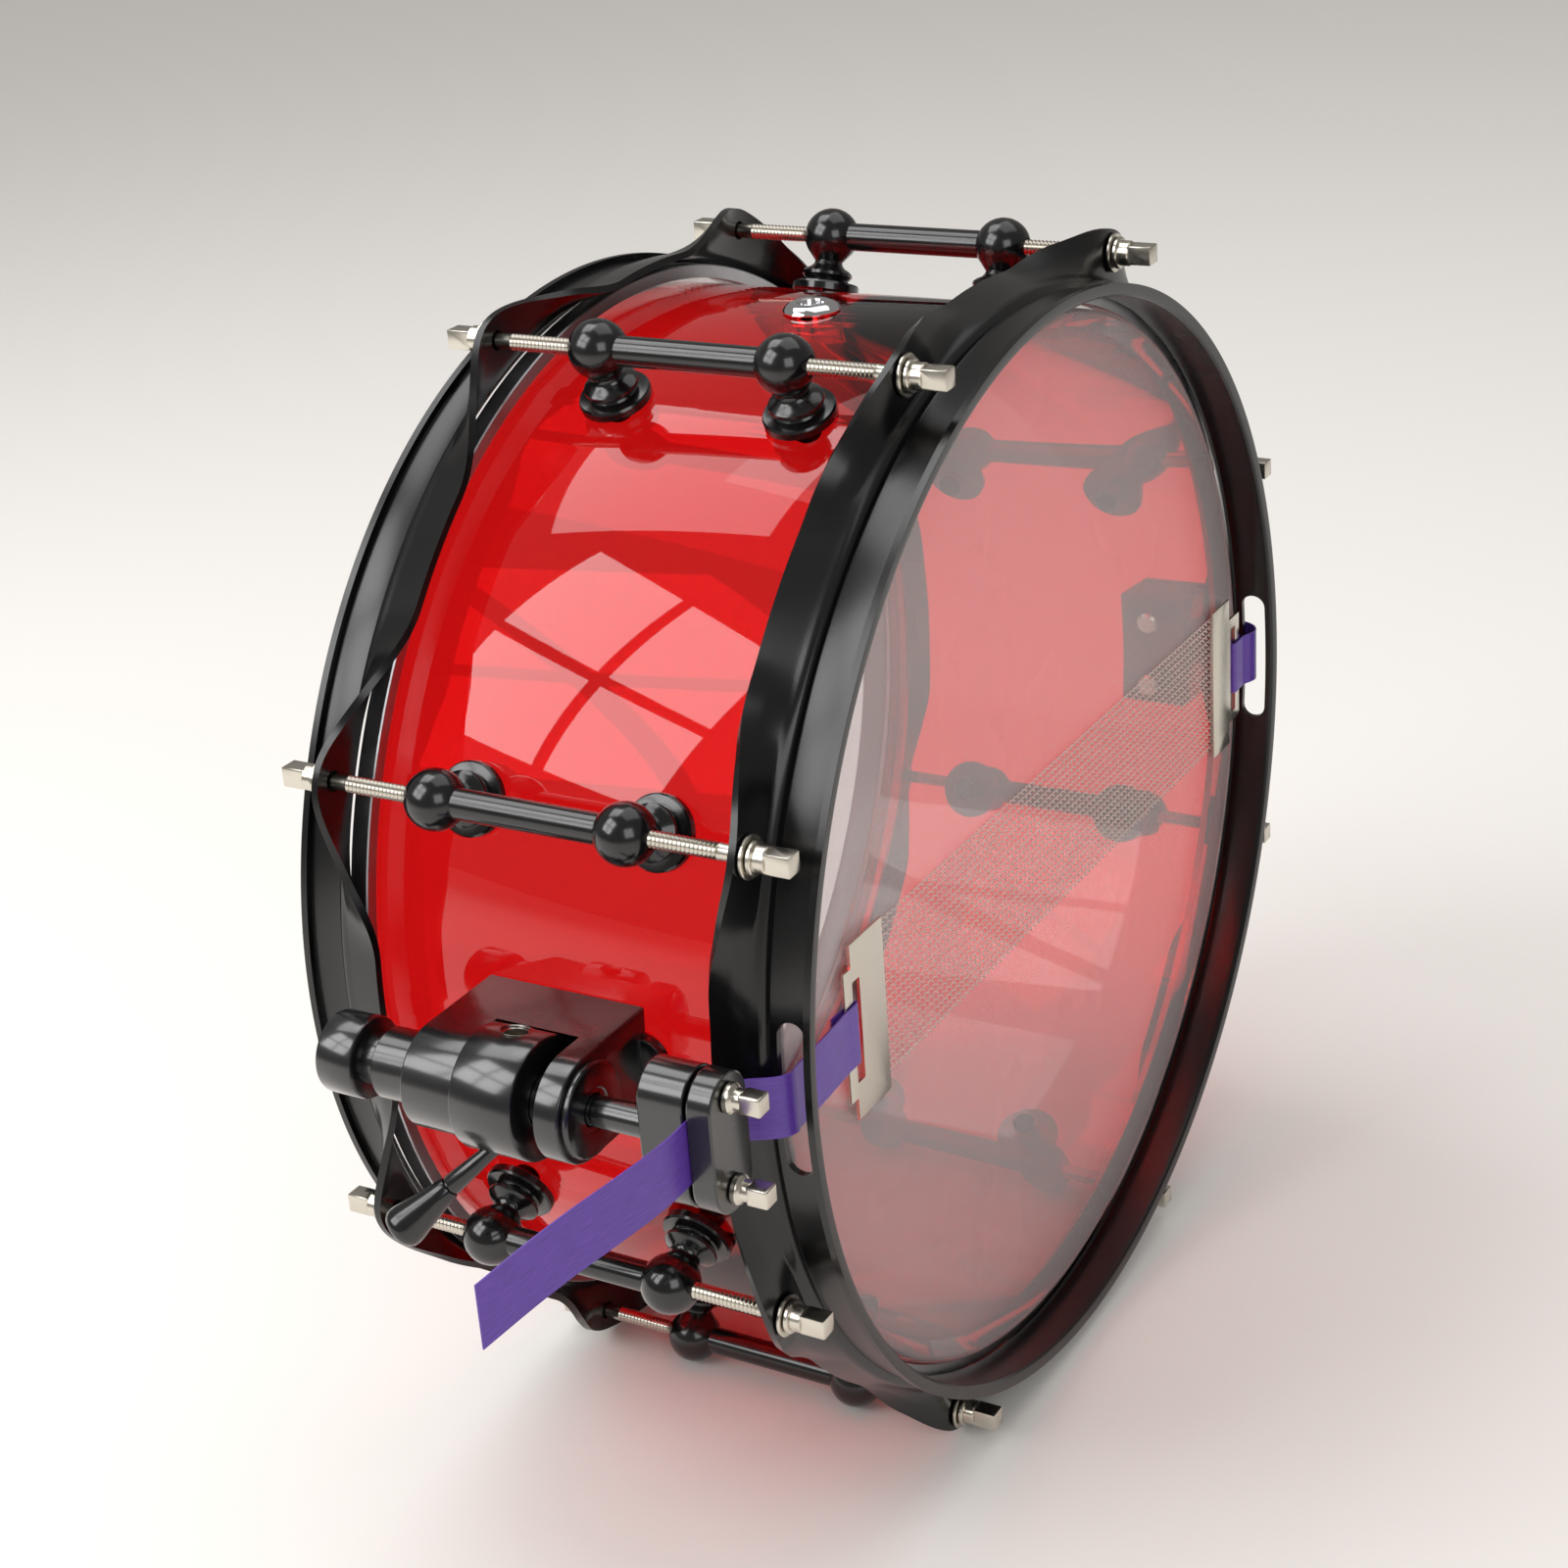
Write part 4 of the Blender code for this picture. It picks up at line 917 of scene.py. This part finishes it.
key = milled("clamp key", (-3.0, -3.0, 81.8), (3.0, 3.0, 88.8), 0.7, 3)
screw = carve(screw, [key], "UNION")
for z, which in ((JAW_SCREW_HEIGHT, "upper"), (-JAW_SCREW_HEIGHT, "lower")):
    piece = own_copy(screw, "clamp_screw_%s_plated" % which)
    dress(move(piece, along_drum(-1, BARREL_X, z)), satin_nickel, "clamp", "clamp_screw_" + which)
clear_away(screw)
print("clamp closed on the strap")

# %% [markdown]
# On the far side a plain butt plate holds the second strap: a block on the shell, a cover plate
# and two screws. Four more screws come through the shell from inside and hold the two blocks.

# %% Butt plate and mounting screws
PLATE_SCREW_HEIGHT = 15.0


def butt_drills():
    """Drills for the two screws of the clamp plate."""
    levels = (PLATE_SCREW_HEIGHT, -PLATE_SCREW_HEIGHT)
    return [bar_between((182, BUTT_LEVEL, z), (203, BUTT_LEVEL, z), 2.3, 20) for z in levels]


butt_block = milled("butt_block_milled", (SHELL_OUTER - 6, -56.5, -22.5), (190.25, -30.5, 22.5), 0.9, 3)
butt_block = carve(butt_block, [bar_between((0, -80, 0), (0, -20, 0), BACK_FIT, 256)] + butt_drills())
dress(move(butt_block, TO_MIDDLE), milled_anodised, "drum", "butt_block")
butt_plate = milled("butt_clamp_plate_milled", (191.35, -56.5, -22.5), (195.35, -30.5, 22.5), 0.9, 3)
butt_plate = carve(butt_plate, butt_drills())
dress(move(butt_plate, TO_MIDDLE), milled_anodised, "drum", "butt_clamp_plate")
pan_screw = lathe("pan screw", [
    (1.6, 183.3), (2.0, 183.7), (2.0, 195.65), (4.2, 195.65), (4.2, 196.9), (3.6, 197.7), (2.2, 198.3),
    (1.0, 198.3)], 32)
for z, which in ((PLATE_SCREW_HEIGHT, "upper"), (-PLATE_SCREW_HEIGHT, "lower")):
    piece = own_copy(pan_screw, "butt_clamp_screw_%s_plated" % which)
    place = Matrix.Translation((0, 0, z * MM)) @ out_of_shell(270, BUTT_LEVEL)
    dress(move(piece, place), satin_nickel, "drum", "butt_clamp_screw_" + which)
shell_screw = lathe("shell screw", [(1.7, 182.4), (2.0, 182.0)] + SCREW_HEAD, 24)
places = {
    "strainer_mount_screw_1": out_of_shell(90, STRAINER_SCREWS[0]),
    "strainer_mount_screw_2": out_of_shell(90, STRAINER_SCREWS[1]),
    "butt_mount_screw_1": out_of_shell(BUTT_SCREWS[0], BUTT_LEVEL),
    "butt_mount_screw_2": out_of_shell(BUTT_SCREWS[1], BUTT_LEVEL),
}
for name, place in places.items():
    dress(move(own_copy(shell_screw, name + "_plated"), place), satin_nickel, "drum", name)
clear_away(pan_screw, shell_screw)
print("butt plate and", len(places), "mounting screws")

# %% [markdown]
# Snare wires are spiral springs pulled nearly straight: each strand is a thin wire wound round
# nothing, about 1.6 mm across. One strand is a small circle swept along a screw, and twenty
# copies of it lie side by side. Both ends are soldered under a nickel end plate. The coils are
# drawn 3 mm apart where real ones are nearer 1 mm, so that they show.

# %% Snare strands
STRANDS = 20
STRAND_HEIGHT = 77.65
WIRE_START = -126.0
WIRE_END = 152.0
STRAND_PITCH = 2.7
WIRE = 0.24
WIRE_SIDES = 5
COIL = 0.8
COIL_STEP = 3.0
COIL_CORNERS = 8
start_fresh()
bpy.ops.mesh.primitive_circle_add(vertices=WIRE_SIDES, radius=WIRE * MM, rotation=(math.pi / 2, 0, 0),
                                  location=((COIL - WIRE) * MM, 0, 0))
bpy.ops.object.transform_apply(location=True, rotation=True, scale=True)
coil = bpy.context.object
winding = coil.modifiers.new("winding", "SCREW")
winding.angle = math.tau
winding.screw_offset = COIL_STEP * MM
winding.iterations = int((WIRE_END - WIRE_START) / COIL_STEP)
winding.steps = COIL_CORNERS
winding.render_steps = COIL_CORNERS
bpy.ops.object.modifier_apply(modifier=winding.name)
move(coil, Matrix.Rotation(math.pi / 2, 4, "Y"))
strands = []
for count in range(STRANDS):
    across = (count - (STRANDS - 1) / 2) * STRAND_PITCH
    strand = own_copy(coil, "strand %d" % count)
    place = Matrix.Translation((WIRE_START * MM, MIDDLE - STRAND_HEIGHT * MM, across * MM))
    strands.append(move(strand, place))
clear_away(coil)
band = joined(strands)
band.name = "snare_strands_coiled"
take(band)
face_outwards()
bpy.ops.object.mode_set(mode="EDIT")
bpy.ops.mesh.select_all(action="DESELECT")
bpy.ops.mesh.select_non_manifold()
bpy.ops.mesh.edge_face_add()
leave_edit()
bpy.ops.object.shade_smooth()
dress(band, drawn_steel, "drum", "snare_strands")
for which, low in (("strainer", WIRE_START + 0.5), ("butt", WIRE_END - 3.0)):
    strip = milled("solder_strip_%s_side" % which, (low, -STRAND_HEIGHT - 0.7, -26.2),
                   (low + 2.5, -STRAND_HEIGHT + 0.7, 26.2), 0.5, 2)
    dress(move(strip, TO_MIDDLE), satin_nickel, "drum")
print("strand faces:", len(band.data.polygons))

# %% [markdown]
# Each end plate is pressed from thin steel: a flat over the strand ends, a slot for the strap
# and a bar beyond it that the strap turns round.

# %% End plates
PLATE_LOW = 78.75
PLATE_HIGH = 79.75


def pressed(name, start, end, low, high, edge=0.3, steps=2, extra=0):
    """A block as thick as the plate, or thicker by an extra amount each way."""
    return milled(name, (start, -PLATE_HIGH - extra, low), (end, -PLATE_LOW + extra, high), edge, steps)


plate = pressed("end_plate_strainer_side", -145.9, -121.0, -29.5, 29.5)
slot = pressed("slot", -141.3, -136.7, -17.0, 17.0, 0.6, 2, 2)
notches = [pressed("notch", -150.0, -141.6, low, low + 8.0, 0.4, 1, 2) for low in (21.8, -29.8)]
plate = carve(plate, [slot] + notches)
dress(move(plate, TO_MIDDLE), satin_nickel, "drum", "snare_end_plate_strainer_side")
plate = pressed("end_plate_butt_side", 146.0, 162.2, -29.5, 29.5)
plate = carve(plate, [pressed("loop", 152.0, 172.2, -21.0, 21.0)], "UNION")
plate = carve(plate, [pressed("slot", 163.2, 167.8, -17.0, 17.0, 0.6, 2, 2)])
dress(move(plate, TO_MIDDLE), satin_nickel, "drum", "snare_end_plate_butt_side")
print("end plates at", -121, "and", 146)

# %% [markdown]
# The strap is one flat ribbon, 20 mm wide. It passes between the jaws, bends past the hoop,
# goes through the gate and turns back round the plate's bar. A short strip of cloth is extruded
# from point to point along that path and then given its thickness. Cloth crosses from the drum
# to the clamp, and the strainer's strap is put on neither body.

# %% Straps
RIBBON = 0.5
RIBBON_WIDTH = 20.0


def smooth_path(stops, parts=6):
    """A smooth curve through the stops, each span split into equal parts."""
    points = []
    for index in range(len(stops) - 1):
        before = Vector(stops[max(index - 1, 0)])
        first = Vector(stops[index])
        second = Vector(stops[index + 1])
        after = Vector(stops[min(index + 2, len(stops) - 1)])
        for part in range(parts):
            t = part / parts
            points.append(0.5 * ((2 * first) + (second - before) * t
                                 + (2 * before - 5 * first + 4 * second - after) * t * t
                                 + (3 * first - before - 3 * second + after) * t * t * t))
    return points + [Vector(stops[-1])]


def lay_ribbon(name, stops):
    """A ribbon along a path of (x, height, z), its width along Z. Gives it and its length."""
    path = smooth_path(stops)
    start_fresh()
    bpy.ops.mesh.primitive_plane_add(size=1.0, location=(0, 0, 0))
    ribbon = bpy.context.object
    ribbon.name = name
    enter_edit()
    bpy.ops.mesh.delete(type="ONLY_FACE")
    leave_edit()
    for edge in ribbon.data.edges:
        spots = [ribbon.data.vertices[end].co for end in edge.vertices]
        edge.select = spots[0].x > 0 and spots[1].x > 0
    for vertex in ribbon.data.vertices:
        vertex.select = vertex.co.x > 0
    bpy.ops.object.mode_set(mode="EDIT")
    bpy.ops.mesh.select_all(action="INVERT")
    bpy.ops.mesh.delete(type="VERT")
    bpy.ops.mesh.select_all(action="SELECT")
    bpy.ops.transform.translate(value=(-0.5, 0, 0))
    bpy.ops.transform.resize(value=(1, RIBBON_WIDTH * MM, 1), center_override=(0, 0, 0))
    for step in range(len(path) - 1):
        extrude_by(MM, 0)
    bpy.ops.mesh.select_all(action="SELECT")
    leave_edit()
    lengths = [0.0]
    for before, here in zip(path, path[1:]):
        lengths.append(lengths[-1] + (here - before).length * MM)
    layer = ribbon.data.uv_layers.new(name="along_strap")
    for loop in ribbon.data.loops:
        corner = ribbon.data.vertices[loop.vertex_index].co
        layer.data[loop.index].uv = (lengths[round(corner.x / MM)], corner.y)
    for vertex in ribbon.data.vertices:
        spot = path[round(vertex.co.x / MM)] * MM
        vertex.co = (spot.x, spot.y + MIDDLE, spot.z + vertex.co.y)
    cloth = ribbon.modifiers.new("cloth", "SOLIDIFY")
    cloth.thickness = RIBBON * MM
    cloth.offset = 0.0
    take(ribbon)
    bpy.ops.object.modifier_apply(modifier=cloth.name)
    shade_by_angle(40)
    return ribbon, lengths[-1]


def through_the_gate(way):
    """Past the hoop's rim and in through its gate."""
    stops = ((189.4, -76.3), (186.6, -80.4), (182.4, -82.45), (178.8, -81.8))
    return [(way * out, height, 0) for out, height in stops]


def round_the_bar(slot_x, way, reach):
    """Over the plate's bar, down its slot and back under the bar."""
    return [
        (slot_x + way * 9.7, -80.3, 0), (slot_x + way * 5.0, -80.3, 0), (slot_x + way * 1.6, -80.3, 0),
        (slot_x + way * 0.6, -79.95, 0), (slot_x + way * 0.4, -79.25, 0), (slot_x + way * 0.6, -78.55, 0),
        (slot_x + way * 1.6, -78.2, 0), (slot_x + way * 5.0, -78.2, 0), (slot_x + way * reach, -78.2, 0),
    ]


strainer_strap, strap_length = lay_ribbon("strainer_strap_ribbon", [
    (-293.5, -49.0, -12.0), (-277.0, -54.5, -7.6), (-263.0, -58.9, -4.8), (-248.8, -63.1, -3.0),
    (-234.8, -66.5, -1.6), (-225.3, -68.1, -0.6), (-219.0, -68.5, 0), (-209.0, -68.5, 0), (-199.0, -68.5, 0),
    (-194.6, -69.6, 0), (-191.7, -72.4, 0),
] + through_the_gate(-1) + [(-162.0, -81.2, 0)] + round_the_bar(-139.0, -1, 13.0))
strainer_strap.data.materials.append(satin_ribbon)
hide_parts("strainer_strap")
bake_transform(strainer_strap)
butt_strap, butt_length = lay_ribbon("butt_strap_ribbon", [
    (190.8, -28.5, 0), (190.8, -44.0, 0), (190.8, -58.5, 0), (190.6, -70.0, 0),
] + through_the_gate(1) + round_the_bar(165.5, 1, 11.0))
dress(butt_strap, satin_ribbon, "drum", "butt_strap")
print("strap lengths:", round(strap_length, 4), round(butt_length, 4))

# %% [markdown]
# The drum stands on a plain pale floor. Four square lamps in a two by two block on the left do
# what the window does in the photo: a gap between them leaves a bar in the polished shell. Three
# weaker lamps, above, behind and beside the camera, open the shadows. The room is dimmer where
# the metal and plastic mirror it, so that black stays black.

# %% Floor, lamps and world
floor_finish, tree = new_finish("pale_matt_floor")
paint = node(tree, "ShaderNodeBsdfPrincipled", {"Base Color": linear("#E9E6E2"), "Roughness": 0.7})
node(tree, "ShaderNodeOutputMaterial", {"Surface": paint.outputs["BSDF"]})
drum_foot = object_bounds()[0][2]
FLOOR_GAP = 0.0005
start_fresh()
bpy.ops.mesh.primitive_plane_add(size=8.0, location=(0, 0, drum_foot - FLOOR_GAP))
floor = bpy.context.object
floor.name = "studio_floor"
floor.data.materials.append(floor_finish)


def soft_lamp(name, place, target, size, power):
    """A square area lamp that points at a target."""
    lamp = bpy.data.lights.new(name, "AREA")
    lamp.shape = "SQUARE"
    lamp.size = size
    lamp.energy = power
    holder = bpy.data.objects.new(name, lamp)
    bpy.context.scene.collection.objects.link(holder)
    holder.location = place
    holder.rotation_euler = (Vector(target) - Vector(place)).to_track_quat("-Z", "Y").to_euler()
    return holder


WINDOW = Vector((-1.25, 0.9, 1.25))
PANE = 0.62
BAR = 0.07
facing = (Vector((0, MIDDLE, 0)) - WINDOW).normalized()
across = facing.cross(Vector((0, 0, 1))).normalized()
upright = across.cross(facing)
for column in (-1, 1):
    for row in (-1, 1):
        spot = WINDOW + (across * column + upright * row) * (PANE + BAR) / 2
        soft_lamp("window pane lamp", spot, spot + facing, PANE, 6.5)
soft_lamp("overhead lamp", (0.1, 0.7, 1.6), (0, MIDDLE, 0), 0.9, 8.0)
soft_lamp("front lamp", (-1.3, -1.4, 0.9), (0, MIDDLE, 0), 1.0, 8.0)
soft_lamp("ceiling lamp", (0.6, -0.3, 2.2), (0, MIDDLE, 0), 2.0, 14.0)
world = bpy.data.worlds.new("pale room")
bpy.context.scene.world = world
world.use_nodes = True
tree = world.node_tree
tree.nodes.clear()
path = node(tree, "ShaderNodeLightPath")
seen = node(tree, "ShaderNodeMath", {
    0: path.outputs["Is Camera Ray"], 1: path.outputs["Is Transmission Ray"]}, operation="MAXIMUM")
room = node(tree, "ShaderNodeBackground", {"Color": linear("#E2E0DE"), "Strength": 0.75})
mirrored = node(tree, "ShaderNodeBackground", {"Color": linear("#CFCBC7"), "Strength": 0.4})
backdrop = node(tree, "ShaderNodeBackground", {"Color": linear("#DEDBD8"), "Strength": 1.0})
around = node(tree, "ShaderNodeMixShader", {
    0: path.outputs["Is Glossy Ray"], 1: room.outputs[0], 2: mirrored.outputs[0]})
mixed = node(tree, "ShaderNodeMixShader", {0: seen.outputs[0], 1: around.outputs[0], 2: backdrop.outputs[0]})
node(tree, "ShaderNodeOutputWorld", {"Surface": mixed.outputs[0]})
print("floor under the lowest ears at", round(drum_foot, 4))
